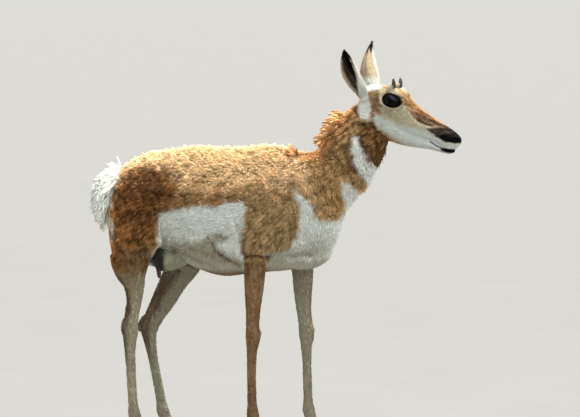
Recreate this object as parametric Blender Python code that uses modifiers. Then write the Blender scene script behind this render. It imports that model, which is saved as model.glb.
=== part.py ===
"""A life-size pronghorn doe, standing, as a still museum model.

The doe faces +X, +Z is up, and the floor is z = 0. The flesh is modelled whole, from lofts and rounded
masses fused by a voxel remesh, and is then parted by thin cuts into the parts that a person would name.
Eyes, horns, ears, tail, udder and the toes' hooves are pieces of their own, cut to sit on the flesh.
"""

import math

import bmesh
import bpy
import numpy as np
from mathutils import Matrix, Vector
from mathutils.bvhtree import BVHTree

# Driving sizes, in metres
GAP = 0.0003  # between pieces that touch
TRUNK_VOXEL = 0.0055
SKIN_VOXEL = 0.0026
FLESH_TRIANGLES = 6200

# The head's own frame: u forward to the nose, s to its left, v up, from the point between the eyes
HEAD_EYES = Vector((0.339, -0.020, 0.995))
HEAD_PITCH = math.radians(27)
HEAD_YAW = math.radians(-15)
HEAD = (
    Matrix.Translation(HEAD_EYES)
    @ Matrix.Rotation(HEAD_YAW, 4, "Z")
    @ Matrix.Rotation(HEAD_PITCH, 4, "Y")
)

EYE_RADIUS = 0.0275
EYE_PLACE = Vector((-0.002, 0.0345, -0.001))  # the left eye, in the head's frame
LID_WIDTH = 0.0265  # half the opening between the lids
LID_HEIGHT = 0.0195
HORN_PLACE = Vector((-0.0175, 0.0375, 0.024))
HORN_LENGTH = 0.034
HORN_RADIUS = 0.0080
EAR_WALL = 0.0024
EAR_TWIST = math.radians(80)  # from root to tip, the opening turning outwards
HOOF_HEIGHT = 0.030
HOOF_LENGTH = 0.060
TOE_WIDTH = 0.0215
TAIL_ROOT = Vector((-0.444, 0.0, 0.784))
TAIL_TIP = Vector((-0.506, 0.0, 0.694))
UDDER_PLACE = Vector((-0.316, 0.0, 0.545))

# The middle of the finished model's box, which the origin lies below
BOX_MIDDLE = Vector((-0.0073, -0.0001, 0.0))

TAN = (0.50, 0.31, 0.16)
PALE = (0.80, 0.77, 0.70)
BLACK = (0.03, 0.025, 0.022)
GREY = (0.20, 0.18, 0.17)


def clear_scene():
    for old in list(bpy.data.objects):
        bpy.data.objects.remove(old, do_unlink=True)


def material(name, colour, roughness):
    made = bpy.data.materials.new(name)
    made.use_nodes = True
    shader = made.node_tree.nodes["Principled BSDF"]
    shader.inputs["Base Color"].default_value = (*colour, 1.0)
    shader.inputs["Roughness"].default_value = roughness
    shader.inputs["Metallic"].default_value = 0.0
    return made


def through(rows, count):
    """A smooth curve through the rows, at count places evenly spaced along its length."""
    rows = np.array(rows, float)
    steps = np.linalg.norm(np.diff(rows[:, :3], axis=0), axis=1)
    along = np.concatenate([[0], np.cumsum(np.maximum(steps, 1e-6))])
    slope = np.gradient(rows, along, axis=0)
    at = np.linspace(0, along[-1], count)
    left = np.clip(np.searchsorted(along, at, side="right") - 1, 0, len(along) - 2)
    span = (along[left + 1] - along[left])[:, None]
    t = ((at - along[left])[:, None]) / span
    return (
        rows[left] * (2 * t**3 - 3 * t**2 + 1)
        + rows[left + 1] * (3 * t**2 - 2 * t**3)
        + slope[left] * span * (t**3 - 2 * t**2 + t)
        + slope[left + 1] * span * (t**3 - t**2)
    )


def power(value, exponent):
    return np.sign(value) * np.abs(value) ** exponent


def loft(rings, strip_ends=False):
    """A closed bmesh through rings of equal length, with fans at its ends, or strips for a sheet."""
    made = bmesh.new()
    levels = [[made.verts.new(p) for p in ring] for ring in rings]
    count = len(levels[0])
    for low, high in zip(levels, levels[1:]):
        for i in range(count):
            j = (i + 1) % count
            made.faces.new((low[i], low[j], high[j], high[i]))
    for level in (levels[0], levels[-1]):
        if strip_ends:
            for i in range(count // 2 - 1):
                made.faces.new((level[i], level[i + 1], level[count - 2 - i], level[count - 1 - i]))
            continue
        middle = made.verts.new(sum((v.co for v in level), Vector()) / count)
        for i in range(count):
            made.faces.new((level[(i + 1) % count], level[i], middle))
    bmesh.ops.recalc_face_normals(made, faces=made.faces)
    return made


def upright_loft(rows, rings, around):
    """Sections across X, or the head's u.

    A row is x, top, bottom, half width, height of the widest place, upper and lower power.
    """
    turn = np.linspace(0, 2 * math.pi, around, endpoint=False)
    made = []
    path = through([(r[0], 0, 0, *r[1:]) for r in rows], rings)
    for x, _, _, top, bottom, half, widest, up, low in path:
        middle = bottom + widest * (top - bottom)
        above = np.sin(turn) > 0
        rise = np.where(above, top - middle, middle - bottom)
        bend = np.where(above, up, low)
        y = half * power(np.cos(turn), 2 / bend)
        z = middle + rise * power(np.sin(turn), 2 / bend)
        made.append([Vector((x, a, b)) for a, b in zip(y, z)])
    return loft(made)


def limb_loft(rows, rings, around):
    """Sections across a path. A row is x, y, z, half depth fore and aft, half width."""
    path = through(rows, rings)
    ahead = np.gradient(path[:, :3], axis=0)
    turn = np.linspace(0, 2 * math.pi, around, endpoint=False)
    made = []
    for row, way in zip(path, ahead):
        way = Vector(way).normalized()
        side = (Vector((0, 1, 0)) - way * way.y).normalized()
        front = side.cross(way)
        middle = Vector(row[:3])
        made.append([middle + front * (row[3] * math.cos(a)) + side * (row[4] * math.sin(a)) for a in turn])
    return loft(made)


def tube(points, radii, around=8):
    """A round tube along the points, closed at both ends."""
    made = []
    for i, point in enumerate(points):
        way = (points[min(i + 1, len(points) - 1)] - points[max(i - 1, 0)]).normalized()
        side = way.orthogonal().normalized() if i == 0 else (side - way * side.dot(way)).normalized()
        across = way.cross(side)
        turn = [2 * math.pi * k / around for k in range(around)]
        made.append([point + (side * math.cos(a) + across * math.sin(a)) * radii[i] for a in turn])
    return loft(made)


def mass(centre, radii, pitch=0.0, yaw=0.0, roll=0.0):
    """A rounded mass of flesh: an ellipsoid turned by roll, pitch and yaw in degrees."""
    made = bmesh.new()
    bmesh.ops.create_uvsphere(made, u_segments=20, v_segments=12, radius=1)
    turn = (
        Matrix.Rotation(math.radians(yaw), 4, "Z")
        @ Matrix.Rotation(math.radians(pitch), 4, "Y")
        @ Matrix.Rotation(math.radians(roll), 4, "X")
    )
    made.transform(Matrix.Translation(centre) @ turn @ Matrix.Diagonal((*radii, 1)))
    return made


def gathered(shapes, place=None):
    """One bmesh that holds all the shapes, which may cross each other until the voxel remesh."""
    made = bmesh.new()
    for shape in shapes:
        if place:
            shape.transform(place)
        mesh = bpy.data.meshes.new("piece")
        shape.to_mesh(mesh)
        shape.free()
        made.from_mesh(mesh)
        bpy.data.meshes.remove(mesh)
    return made


def as_object(name, shape):
    mesh = bpy.data.meshes.new(name)
    shape.to_mesh(mesh)
    shape.free()
    made = bpy.data.objects.new(name, mesh)
    bpy.context.scene.collection.objects.link(made)
    return made


def twin_of(obj, name):
    made = bpy.data.objects.new(name, obj.data.copy())
    bpy.context.scene.collection.objects.link(made)
    return made


def removed(*objects):
    for obj in objects:
        bpy.data.objects.remove(obj, do_unlink=True)


def baked(obj):
    """Replaces an object's mesh by its evaluated one and drops the modifiers."""
    graph = bpy.context.evaluated_depsgraph_get()
    mesh = bpy.data.meshes.new_from_object(obj.evaluated_get(graph))
    old = obj.data
    obj.modifiers.clear()
    obj.data = mesh
    bpy.data.meshes.remove(old)
    obj.vertex_groups.clear()
    return obj


def weighted(obj, name, weight):
    """A vertex group whose values are weight(points)."""
    group = obj.vertex_groups.new(name=name)
    points = np.array([v.co for v in obj.data.vertices])
    values = np.round(weight(points), 2)
    for value in np.unique(values):
        group.add(np.flatnonzero(values == value).tolist(), float(value), "REPLACE")
    return group.name


def remeshed(obj, voxel):
    change = obj.modifiers.new("voxels", "REMESH")
    change.mode = "VOXEL"
    change.voxel_size = voxel
    return baked(obj)


def softened(obj, rounds, weight=None):
    change = obj.modifiers.new("soften", "SMOOTH")
    change.factor = 0.5
    change.iterations = rounds
    if weight:
        change.vertex_group = weighted(obj, "soft", weight)
    return baked(obj)


def thinned(obj, triangles, weight):
    """Fewer triangles, and relatively more of them kept where weight(points) is low."""
    change = obj.modifiers.new("fewer", "DECIMATE")
    change.ratio = triangles / (2 * len(obj.data.polygons))
    change.vertex_group = weighted(obj, "coarse", weight)
    change.vertex_group_factor = 0.01
    change.use_collapse_triangulate = True
    return baked(obj)


def largest_only(obj):
    """Keeps the largest closed surface of an object's mesh."""
    shape = bmesh.new()
    shape.from_mesh(obj.data)
    left = set(shape.verts)
    shells = []
    while left:
        found = {left.pop()}
        edge = list(found)
        while edge:
            reached = {e.other_vert(v) for v in edge for e in v.link_edges} - found
            found |= reached
            edge = list(reached)
        left -= found
        shells.append(found)
    shells.sort(key=len)
    bmesh.ops.delete(shape, geom=[v for shell in shells[:-1] for v in shell], context="VERTS")
    shape.to_mesh(obj.data)
    shape.free()
    return obj


def boolean(obj, other, operation, solver="EXACT"):
    change = obj.modifiers.new("boolean", "BOOLEAN")
    change.operation = operation
    change.solver = solver
    if isinstance(other, bpy.types.Collection):
        change.operand_type = "COLLECTION"
        change.collection = other
    else:
        change.object = other
    return baked(obj)


def swollen(obj, depth):
    """A copy of an object whose surface is moved outwards by depth."""
    made = twin_of(obj, "swollen")
    shape = bmesh.new()
    shape.from_mesh(made.data)
    shape.normal_update()
    for vertex, normal in [(v, v.normal.copy()) for v in shape.verts]:
        vertex.co += normal * depth
    shape.to_mesh(made.data)
    shape.free()
    return made


def block(low, high, pitch=0.0, pivot=(0, 0, 0), grow=0.0):
    """A box between two corners, grown on every side, and turned about Y at the pivot."""
    low = Vector(low) - Vector((grow, grow, grow))
    high = Vector(high) + Vector((grow, grow, grow))
    shape = bmesh.new()
    bmesh.ops.create_cube(shape, size=1)
    shape.transform(Matrix.Translation((low + high) / 2) @ Matrix.Diagonal((*(high - low), 1)))
    turn = Matrix.Rotation(math.radians(pitch), 4, "Y")
    shape.transform(Matrix.Translation(pivot) @ turn @ Matrix.Translation(-Vector(pivot)))
    return as_object("block", shape)


def parted(body, name, low, high, pitch=0.0, pivot=(0, 0, 0)):
    """Takes the piece inside a block off the body, and leaves a gap between them."""
    piece = twin_of(body, name)
    inner = block(low, high, pitch, pivot)
    boolean(piece, inner, "INTERSECT")
    outer = block(low, high, pitch, pivot, GAP)
    boolean(body, outer, "DIFFERENCE")
    removed(inner, outer)
    largest_only(piece)
    largest_only(body)
    return piece


TRUNK = [
    # x, top, bottom, half width, widest, upper power, lower power
    (-0.498, 0.735, 0.655, 0.030, 0.5, 2.0, 2.0),
    (-0.488, 0.765, 0.620, 0.058, 0.5, 2.0, 2.0),
    (-0.463, 0.790, 0.595, 0.083, 0.5, 2.0, 2.0),
    (-0.425, 0.815, 0.580, 0.100, 0.5, 2.0, 2.0),
    (-0.374, 0.843, 0.572, 0.108, 0.5, 1.9, 2.0),
    (-0.317, 0.852, 0.562, 0.112, 0.48, 1.8, 2.1),
    (-0.230, 0.864, 0.514, 0.125, 0.44, 1.8, 2.2),
    (-0.150, 0.859, 0.491, 0.133, 0.43, 1.8, 2.2),
    (-0.095, 0.861, 0.496, 0.130, 0.43, 1.8, 2.2),
    (-0.028, 0.869, 0.503, 0.117, 0.42, 1.7, 2.1),
    (0.030, 0.864, 0.508, 0.104, 0.42, 1.6, 2.1),
    (0.080, 0.842, 0.518, 0.094, 0.42, 1.7, 2.0),
    (0.120, 0.800, 0.538, 0.084, 0.42, 1.9, 2.0),
    (0.155, 0.745, 0.568, 0.068, 0.45, 2.0, 2.0),
    (0.175, 0.700, 0.605, 0.045, 0.48, 2.0, 2.0),
    (0.184, 0.670, 0.630, 0.018, 0.5, 2.0, 2.0),
]

NECK = [
    # x, y, z, half depth, half width
    (0.020, 0.000, 0.655, 0.120, 0.070),
    (0.066, 0.000, 0.692, 0.136, 0.078),
    (0.094, 0.000, 0.722, 0.124, 0.076),
    (0.136, 0.000, 0.756, 0.101, 0.069),
    (0.185, -0.001, 0.792, 0.088, 0.060),
    (0.2165, -0.003, 0.846, 0.085, 0.054),
    (0.2400, -0.006, 0.890, 0.085, 0.050),
    (0.2600, -0.010, 0.928, 0.075, 0.047),
    (0.2780, -0.014, 0.960, 0.058, 0.042),
    (0.2950, -0.016, 0.985, 0.036, 0.034),
]

SKULL = [
    # u, top, bottom, half width, widest, upper power, lower power
    (-0.096, -0.008, -0.045, 0.014, 0.5, 2.0, 2.0),
    (-0.088, 0.003, -0.060, 0.030, 0.5, 2.0, 2.0),
    (-0.070, 0.013, -0.075, 0.042, 0.6, 2.1, 2.0),
    (-0.040, 0.023, -0.085, 0.047, 0.65, 2.3, 2.0),
    (-0.010, 0.030, -0.090, 0.047, 0.68, 2.4, 2.0),
    (0.020, 0.028, -0.090, 0.046, 0.65, 2.3, 2.0),
    (0.045, 0.020, -0.086, 0.042, 0.60, 2.1, 2.1),
    (0.070, 0.014, -0.080, 0.037, 0.55, 2.0, 2.2),
    (0.100, 0.0095, -0.071, 0.032, 0.52, 2.0, 2.3),
    (0.134, 0.0055, -0.062, 0.0285, 0.5, 2.0, 2.3),
    (0.165, 0.003, -0.057, 0.0275, 0.48, 2.0, 2.3),
    (0.190, 0.000, -0.053, 0.028, 0.46, 2.1, 2.3),
    (0.207, -0.004, -0.047, 0.025, 0.46, 2.1, 2.2),
    (0.218, -0.011, -0.041, 0.018, 0.46, 2.0, 2.0),
    (0.2235, -0.020, -0.034, 0.008, 0.5, 2.0, 2.0),
]

JAW = [
    (-0.022, -0.040, -0.080, 0.026, 0.5, 2.0, 2.0),
    (0.005, -0.040, -0.103, 0.036, 0.6, 2.0, 1.9),
    (0.030, -0.048, -0.1135, 0.036, 0.6, 2.0, 1.8),
    (0.055, -0.052, -0.112, 0.032, 0.6, 2.0, 1.8),
    (0.086, -0.054, -0.1045, 0.0255, 0.6, 2.0, 1.8),
    (0.124, -0.0520, -0.0914, 0.0215, 0.55, 2.0, 1.9),
    (0.150, -0.0500, -0.0815, 0.0205, 0.5, 2.0, 2.0),
    (0.175, -0.0500, -0.0755, 0.0205, 0.5, 2.1, 2.0),
    (0.195, -0.0440, -0.0705, 0.0195, 0.5, 2.1, 2.0),
    (0.209, -0.0390, -0.0640, 0.0165, 0.5, 2.0, 2.0),
    (0.2180, -0.0380, -0.0575, 0.0100, 0.5, 2.0, 2.0),
]

# The mouth's slit from its corners to past the lips: u, v of its middle, half height
MOUTH = (
    (0.140, -0.0575, 0.0003),
    (0.152, -0.0590, 0.0008),
    (0.168, -0.0600, 0.0010),
    (0.185, -0.0580, 0.0010),
    (0.203, -0.0530, 0.0011),
    (0.219, -0.0460, 0.0012),
    (0.235, -0.0370, 0.0014),
)

FORE_RIGHT = [
    # x, y, z, half depth, half width
    (-0.030, -0.078, 0.640, 0.060, 0.036),
    (-0.050, -0.078, 0.600, 0.048, 0.034),
    (-0.061, -0.076, 0.550, 0.037, 0.031),
    (-0.0650, -0.074, 0.500, 0.0310, 0.0265),
    (-0.0665, -0.072, 0.465, 0.0285, 0.0240),
    (-0.0686, -0.070, 0.420, 0.0240, 0.0205),
    (-0.0700, -0.069, 0.376, 0.0203, 0.0180),
    (-0.0705, -0.068, 0.350, 0.0198, 0.0185),
    (-0.0695, -0.068, 0.330, 0.0218, 0.0212),
    (-0.0700, -0.068, 0.310, 0.0208, 0.0202),
    (-0.0720, -0.068, 0.288, 0.0165, 0.0165),
    (-0.0735, -0.068, 0.250, 0.0142, 0.0132),
    (-0.0735, -0.068, 0.180, 0.0137, 0.0126),
    (-0.0720, -0.068, 0.125, 0.0148, 0.0136),
    (-0.0700, -0.068, 0.098, 0.0182, 0.0180),
    (-0.0640, -0.068, 0.078, 0.0165, 0.0168),
    (-0.0560, -0.068, 0.058, 0.0150, 0.0165),
    (-0.0500, -0.068, 0.038, 0.0190, 0.0205),
    (-0.0460, -0.068, 0.010, 0.0220, 0.0215),
]

FORE_LEFT = [
    (0.060, 0.078, 0.640, 0.060, 0.036),
    (0.055, 0.078, 0.600, 0.050, 0.034),
    (0.065, 0.076, 0.550, 0.040, 0.031),
    (0.0715, 0.074, 0.507, 0.0328, 0.0270),
    (0.0725, 0.072, 0.465, 0.0288, 0.0240),
    (0.0735, 0.070, 0.420, 0.0250, 0.0208),
    (0.0770, 0.069, 0.376, 0.0212, 0.0185),
    (0.0805, 0.068, 0.350, 0.0212, 0.0190),
    (0.0830, 0.068, 0.330, 0.0226, 0.0214),
    (0.0838, 0.068, 0.310, 0.0214, 0.0202),
    (0.0830, 0.068, 0.288, 0.0170, 0.0165),
    (0.0840, 0.068, 0.250, 0.0142, 0.0132),
    (0.0860, 0.068, 0.180, 0.0137, 0.0126),
    (0.0880, 0.068, 0.125, 0.0148, 0.0136),
    (0.0900, 0.068, 0.098, 0.0182, 0.0180),
    (0.0960, 0.068, 0.078, 0.0165, 0.0168),
    (0.1040, 0.068, 0.058, 0.0150, 0.0165),
    (0.1100, 0.068, 0.038, 0.0190, 0.0205),
    (0.1140, 0.068, 0.010, 0.0220, 0.0215),
]

HIND_RIGHT = [
    (-0.400, -0.066, 0.740, 0.080, 0.044),
    (-0.392, -0.078, 0.680, 0.094, 0.048),
    (-0.398, -0.084, 0.620, 0.079, 0.046),
    (-0.4150, -0.086, 0.570, 0.0640, 0.042),
    (-0.4180, -0.086, 0.537, 0.058, 0.038),
    (-0.4150, -0.084, 0.504, 0.0455, 0.034),
    (-0.4085, -0.082, 0.476, 0.0330, 0.029),
    (-0.4070, -0.079, 0.427, 0.0228, 0.0215),
    (-0.4096, -0.077, 0.394, 0.0180, 0.0180),
    (-0.4160, -0.076, 0.366, 0.0205, 0.0185),
    (-0.4180, -0.075, 0.340, 0.0228, 0.0205),
    (-0.4195, -0.075, 0.318, 0.0205, 0.0200),
    (-0.4200, -0.075, 0.290, 0.0168, 0.0165),
    (-0.4180, -0.075, 0.250, 0.0148, 0.0136),
    (-0.4145, -0.075, 0.180, 0.0140, 0.0128),
    (-0.4105, -0.075, 0.125, 0.0150, 0.0138),
    (-0.4070, -0.075, 0.098, 0.0186, 0.0182),
    (-0.4000, -0.075, 0.078, 0.0168, 0.0170),
    (-0.3920, -0.075, 0.058, 0.0152, 0.0166),
    (-0.3850, -0.075, 0.038, 0.0190, 0.0205),
    (-0.3810, -0.075, 0.010, 0.0220, 0.0215),
]

HIND_LEFT = [
    (-0.390, 0.066, 0.740, 0.080, 0.044),
    (-0.368, 0.078, 0.680, 0.096, 0.048),
    (-0.335, 0.084, 0.620, 0.090, 0.046),
    (-0.293, 0.086, 0.570, 0.068, 0.042),
    (-0.268, 0.086, 0.530, 0.054, 0.038),
    (-0.282, 0.084, 0.500, 0.046, 0.034),
    (-0.2970, 0.082, 0.474, 0.0405, 0.030),
    (-0.3270, 0.079, 0.418, 0.0350, 0.024),
    (-0.3500, 0.077, 0.378, 0.0290, 0.0205),
    (-0.3640, 0.076, 0.350, 0.0265, 0.0200),
    (-0.3690, 0.075, 0.326, 0.0240, 0.0205),
    (-0.3660, 0.075, 0.296, 0.0182, 0.0175),
    (-0.3590, 0.075, 0.255, 0.0150, 0.0138),
    (-0.3450, 0.075, 0.180, 0.0140, 0.0128),
    (-0.3350, 0.075, 0.125, 0.0150, 0.0138),
    (-0.3300, 0.075, 0.098, 0.0186, 0.0182),
    (-0.3220, 0.075, 0.078, 0.0168, 0.0170),
    (-0.3130, 0.075, 0.058, 0.0152, 0.0166),
    (-0.3060, 0.075, 0.038, 0.0190, 0.0205),
    (-0.3020, 0.075, 0.010, 0.0220, 0.0215),
]

LEGS = {
    "fore_right": FORE_RIGHT,
    "fore_left": FORE_LEFT,
    "hind_right": HIND_RIGHT,
    "hind_left": HIND_LEFT,
}


def trunk_shapes():
    """Barrel, neck, haunches, shoulders, brisket and belly."""
    made = [upright_loft(TRUNK, 60, 40), limb_loft(NECK, 30, 28)]
    # haunches, thighs and hamstrings, the left thigh swung forward
    made.append(mass((-0.412, -0.068, 0.700), (0.078, 0.046, 0.100), pitch=-12))
    made.append(mass((-0.402, 0.068, 0.705), (0.080, 0.046, 0.100), pitch=6))
    made.append(mass((-0.372, -0.080, 0.655), (0.058, 0.042, 0.088), pitch=-8))
    made.append(mass((-0.320, 0.082, 0.630), (0.062, 0.042, 0.100), pitch=22))
    made.append(mass((-0.442, -0.062, 0.610), (0.045, 0.042, 0.105), pitch=-6))
    made.append(mass((-0.428, 0.062, 0.642), (0.050, 0.042, 0.088), pitch=2))
    made.append(mass((-0.378, 0.070, 0.588), (0.052, 0.036, 0.082), pitch=-32))
    for side in (-1, 1):
        swing = 0.0 if side < 0 else 0.030
        # shoulder blade, upper arm, elbow, the point of the shoulder and of the hip
        made.append(mass((0.048, side * 0.058, 0.730), (0.050, 0.036, 0.112), pitch=24))
        made.append(mass((0.010 + swing, side * 0.074, 0.640), (0.088, 0.038, 0.070), pitch=-18))
        made.append(mass((-0.035 + 2.2 * swing, side * 0.080, 0.600), (0.055, 0.036, 0.060)))
        made.append(mass((0.110, side * 0.060, 0.645), (0.055, 0.038, 0.060), pitch=10))
        made.append(mass((-0.345, side * 0.056, 0.790), (0.060, 0.038, 0.040), pitch=-8))
    # brisket between the forelegs
    made.append(mass((0.075, 0.0, 0.560), (0.085, 0.058, 0.052), pitch=-6))
    return made


def leg_shapes():
    return [limb_loft(rows, 84, 20) for rows in LEGS.values()]


def joint_shapes():
    """The hocks' points and tendons, and the front of the knees."""
    made = []
    for x, side, lean in ((-0.4345, -1, 4), (-0.3885, 1, 26)):
        made.append(mass((x, side * 0.075, 0.352), (0.0115, 0.0115, 0.028), pitch=lean))
        forward = math.tan(math.radians(lean)) * 0.034
        made.append(mass((x + 0.005 + forward, side * 0.076, 0.386), (0.0085, 0.0085, 0.045), pitch=lean))
    for rows in (FORE_RIGHT, FORE_LEFT):
        x, y, z = rows[8][:3]
        made.append(mass((x + 0.006, y, z), (0.018, 0.019, 0.024)))
    return made


def lid_points(side, grow=0.0, lift=0.0, count=24):
    """The edge of the lids: an oval that lies on the eyeball."""
    made = []
    for step in range(count + 1):
        turn = 2 * math.pi * step / count
        u = (LID_WIDTH + grow) * math.cos(turn)
        v = (LID_HEIGHT + grow) * math.sin(turn) + 0.10 * u
        out = math.sqrt(max(EYE_RADIUS**2 - u * u - v * v, 0.0001)) + lift
        made.append(Vector((EYE_PLACE.x + u, side * (EYE_PLACE.y + out), EYE_PLACE.z + v)))
    return made


def head_shapes():
    made = [upright_loft(SKULL, 60, 32), upright_loft(JAW, 46, 24)]
    for side in (-1, 1):
        eye = Vector((EYE_PLACE.x, side * EYE_PLACE.y, EYE_PLACE.z))
        # socket, lids, brow, cheek muscle, cheek bone, muzzle, nostril side, temple
        made.append(mass(eye - Vector((0.002, side * 0.008, 0)), (0.034, 0.026, 0.0285)))
        made.append(tube(lid_points(side), [0.0042] * 25))
        made.append(tube(lid_points(side, 0.004, -0.003), [0.006] * 25))
        made.append(mass((-0.006, side * 0.040, 0.0235), (0.028, 0.012, 0.0095), roll=-side * 28))
        made.append(mass((-0.004, side * 0.030, -0.062), (0.040, 0.014, 0.042), pitch=-12))
        made.append(mass((0.045, side * 0.028, -0.030), (0.060, 0.014, 0.014), pitch=12, yaw=-side * 6))
        made.append(mass((0.178, side * 0.0165, -0.034), (0.034, 0.0125, 0.019), pitch=6))
        made.append(mass((0.198, side * 0.014, -0.020), (0.020, 0.0125, 0.015), pitch=6))
    made.append(mass((0.205, 0.0, -0.016), (0.0185, 0.0185, 0.0125), pitch=22))
    made.append(mass((0.197, 0.0, -0.0600), (0.019, 0.0165, 0.0100), pitch=-14))
    return made


def face_cuts():
    """The slit between the lips and the two nostrils."""
    rings = []
    for u, v, half in MOUTH:
        corners = ((-0.05, -half), (0.05, -half), (0.05, half), (-0.05, half))
        rings.append([Vector((u, s, v + rise)) for s, rise in corners])
    made = [loft(rings)]
    for side in (-1, 1):
        place = (0.2075, side * 0.0135, -0.0215)
        made.append(mass(place, (0.0085, 0.0036, 0.0046), pitch=24, yaw=side * 28))
    return made


def in_head(points):
    """The points' u, s and v in the head's frame."""
    return (points - np.array(HEAD_EYES)) @ np.array(HEAD.to_3x3())


def trunk_softness(points):
    """The trunk and neck are smoothed far more than the lower legs."""
    return np.clip((points[:, 2] - 0.50) / 0.10, 0.03, 1)


def seam_softness(points):
    """The throat and the root of the head are smoothed a little, the face hardly at all."""
    u = in_head(points)[:, 0]
    near_seam = np.clip(1 - np.abs(u + 0.10) / 0.08, 0, 1)
    return np.where(points[:, 2] > 0.85, np.maximum(near_seam, 0.06), 0.06)


def coarseness(points):
    """How freely triangles may be dropped: least on the face, some on the lower legs."""
    face = np.clip((-0.10 - in_head(points)[:, 0]) / 0.05, 0, 1)
    high = (points[:, 2] > 0.86) & (points[:, 0] > 0.20)
    local = in_head(points)
    from_eye = np.hypot(local[:, 0] - EYE_PLACE.x, local[:, 2] - EYE_PLACE.z)
    lids = np.clip((from_eye - 0.032) / 0.02, 0.3, 1)
    return np.where(high, (0.35 + 0.65 * face) * lids, 1.0)


def flesh(extra=()):
    """The whole body as one closed skin."""
    body = as_object("flesh", gathered(trunk_shapes() + leg_shapes() + list(extra)))
    remeshed(body, TRUNK_VOXEL)
    softened(body, 120, trunk_softness)
    fine = bmesh.new()
    fine.from_mesh(body.data)
    removed(body)
    lower = [shape for shape in leg_shapes()]
    for shape in lower:
        high = [v for v in shape.verts if v.co.z > 0.50]
        bmesh.ops.delete(shape, geom=high, context="VERTS")
        bmesh.ops.holes_fill(shape, edges=shape.edges, sides=0)
    body = as_object("flesh", gathered([fine, gathered(head_shapes(), HEAD)] + lower + joint_shapes()))
    remeshed(body, SKIN_VOXEL)
    softened(body, 40, seam_softness)
    softened(body, 1)
    return body


def eye(side):
    shape = bmesh.new()
    bmesh.ops.create_uvsphere(shape, u_segments=14, v_segments=8, radius=EYE_RADIUS)
    shape.transform(HEAD @ Matrix.Translation((EYE_PLACE.x, side * EYE_PLACE.y, EYE_PLACE.z)))
    return shape


def horn(side):
    """A short, blunt horn that leans a little outwards and back."""
    root = Vector((HORN_PLACE.x, side * HORN_PLACE.y, HORN_PLACE.z))
    lean = Vector((-0.32, side * 0.16, 1)).normalized()
    steps = [0, 0.35, 0.70, 0.92, 1.0]
    bow = Vector((0.004, 0, 0))
    points = [root + lean * (HORN_LENGTH * t) + bow * math.sin(math.pi * t) for t in steps]
    radii = [HORN_RADIUS * w for w in (1.05, 0.96, 0.70, 0.40, 0.16)]
    shape = tube(points, radii, 10)
    shape.transform(HEAD)
    return shape


# Each ear's root and tip, the way that its opening looks, and how widely it is spread
EARS = {
    -1: ((0.2490, -0.0260, 0.9980), (0.1890, -0.0860, 1.1400), (-0.64, -0.77, 0), 1.0),
    1: ((0.2765, 0.0260, 1.0035), (0.2710, 0.0800, 1.1600), (0.20, 0.98, 0), 0.86),
}

# The ear's half width at shares of its length
EAR_WIDTHS = (
    (0.0, 0.0165),
    (0.10, 0.0195),
    (0.20, 0.0265),
    (0.32, 0.0298),
    (0.46, 0.0294),
    (0.60, 0.0258),
    (0.73, 0.0205),
    (0.86, 0.0128),
    (0.95, 0.0060),
    (1.0, 0.0014),
)


def ear(side):
    """A cup: nearly a tube at its root, opening wide and closing to a point.

    The sheet has an outer and an inner face, EAR_WALL apart.
    """
    root, tip, facing = (Vector(place) for place in EARS[side][:3])
    spread = EARS[side][3]
    axis = (tip - root).normalized()
    open_way = (facing - axis * facing.dot(axis)).normalized()
    across = axis.cross(open_way)
    widths = through([(share, 0, 0, half * spread) for share, half in EAR_WIDTHS], 10)
    rings = []
    columns = 7
    for share, _, _, wide in widths:
        reach = math.radians(150 - 85 * share**0.6)
        deep = 0.95 - 0.35 * share
        bow = Vector((-0.012, 0, 0)) * math.sin(math.pi * share)
        middle = root + axis * ((tip - root).length * share) + bow
        turn = Matrix.Rotation(side * EAR_TWIST * (0.5 - share), 3, axis)
        ring = []
        for wall in (0, 1):
            for j in range(columns + 1):
                part = j / columns if wall == 0 else 1 - j / columns
                angle = reach * (2 * part - 1)
                radius = wide if wall == 0 else max(wide - EAR_WALL, 0.0006)
                spot = across * (math.sin(angle) * radius) - open_way * (math.cos(angle) * radius * deep)
                ring.append(middle + turn @ spot)
        rings.append(ring)
    return loft(rings, strip_ends=True)


def toe(place, out):
    """One toe's hoof: a pointed wedge with a flat sole, straight along the cleft."""
    rings = []
    for level in (0.0, 0.30, 1.0):
        z = (HOOF_HEIGHT - GAP / 2) * level
        back = -0.40 * HOOF_LENGTH + 0.004 * level
        front = 0.60 * HOOF_LENGTH - 0.017 * level
        half = TOE_WIDTH * (1 - 0.10 * level) / 2
        ring = []
        for step in range(14):
            turn = 2 * math.pi * step / 14
            along = math.cos(turn)
            x = (front + back) / 2 + (front - back) / 2 * along
            taper = 1 - 0.50 * max(along, 0) ** 2.2 * (1 - 0.4 * level)
            y = half * power(np.sin(turn), 0.75) * taper
            inward = half * (1 - taper) * 0.55
            ring.append(Vector((x, out * (half - inward + 0.0012) + y, z)))
        rings.append(ring)
    shape = loft(rings)
    shape.transform(Matrix.Translation((place[0], place[1], 0)))
    return shape


TEATS = (
    # ahead of the udder's middle, side, length
    (-0.024, -1, 0.026),
    (0.007, -1, 0.026),
    (-0.006, 1, 0.024),
    (0.032, 1, 0.020),
)


def udder():
    """A soft bag below the groin with four teats."""
    x, y, z = UDDER_PLACE
    made = [mass((x, y, z), (0.048, 0.047, 0.043), pitch=-8)]
    made.append(mass((x - 0.020, y, z + 0.012), (0.040, 0.044, 0.040)))
    made.append(mass((x + 0.034, y, z + 0.007), (0.036, 0.040, 0.036)))
    for along, side, long in TEATS:
        root = Vector((x + along, side * 0.024, z - 0.026))
        way = Vector((0.10, side * 0.20, -1)).normalized()
        points = [root + way * (long * t) for t in (0, 0.45, 0.8, 1.0, 1.1)]
        made.append(tube(points, [0.0085, 0.0070, 0.0062, 0.0050, 0.0025], 8))
    body = as_object("udder", gathered(made))
    remeshed(body, 0.0030)
    softened(body, 4)
    return thinned(body, 300, lambda points: np.ones(len(points)))


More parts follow.
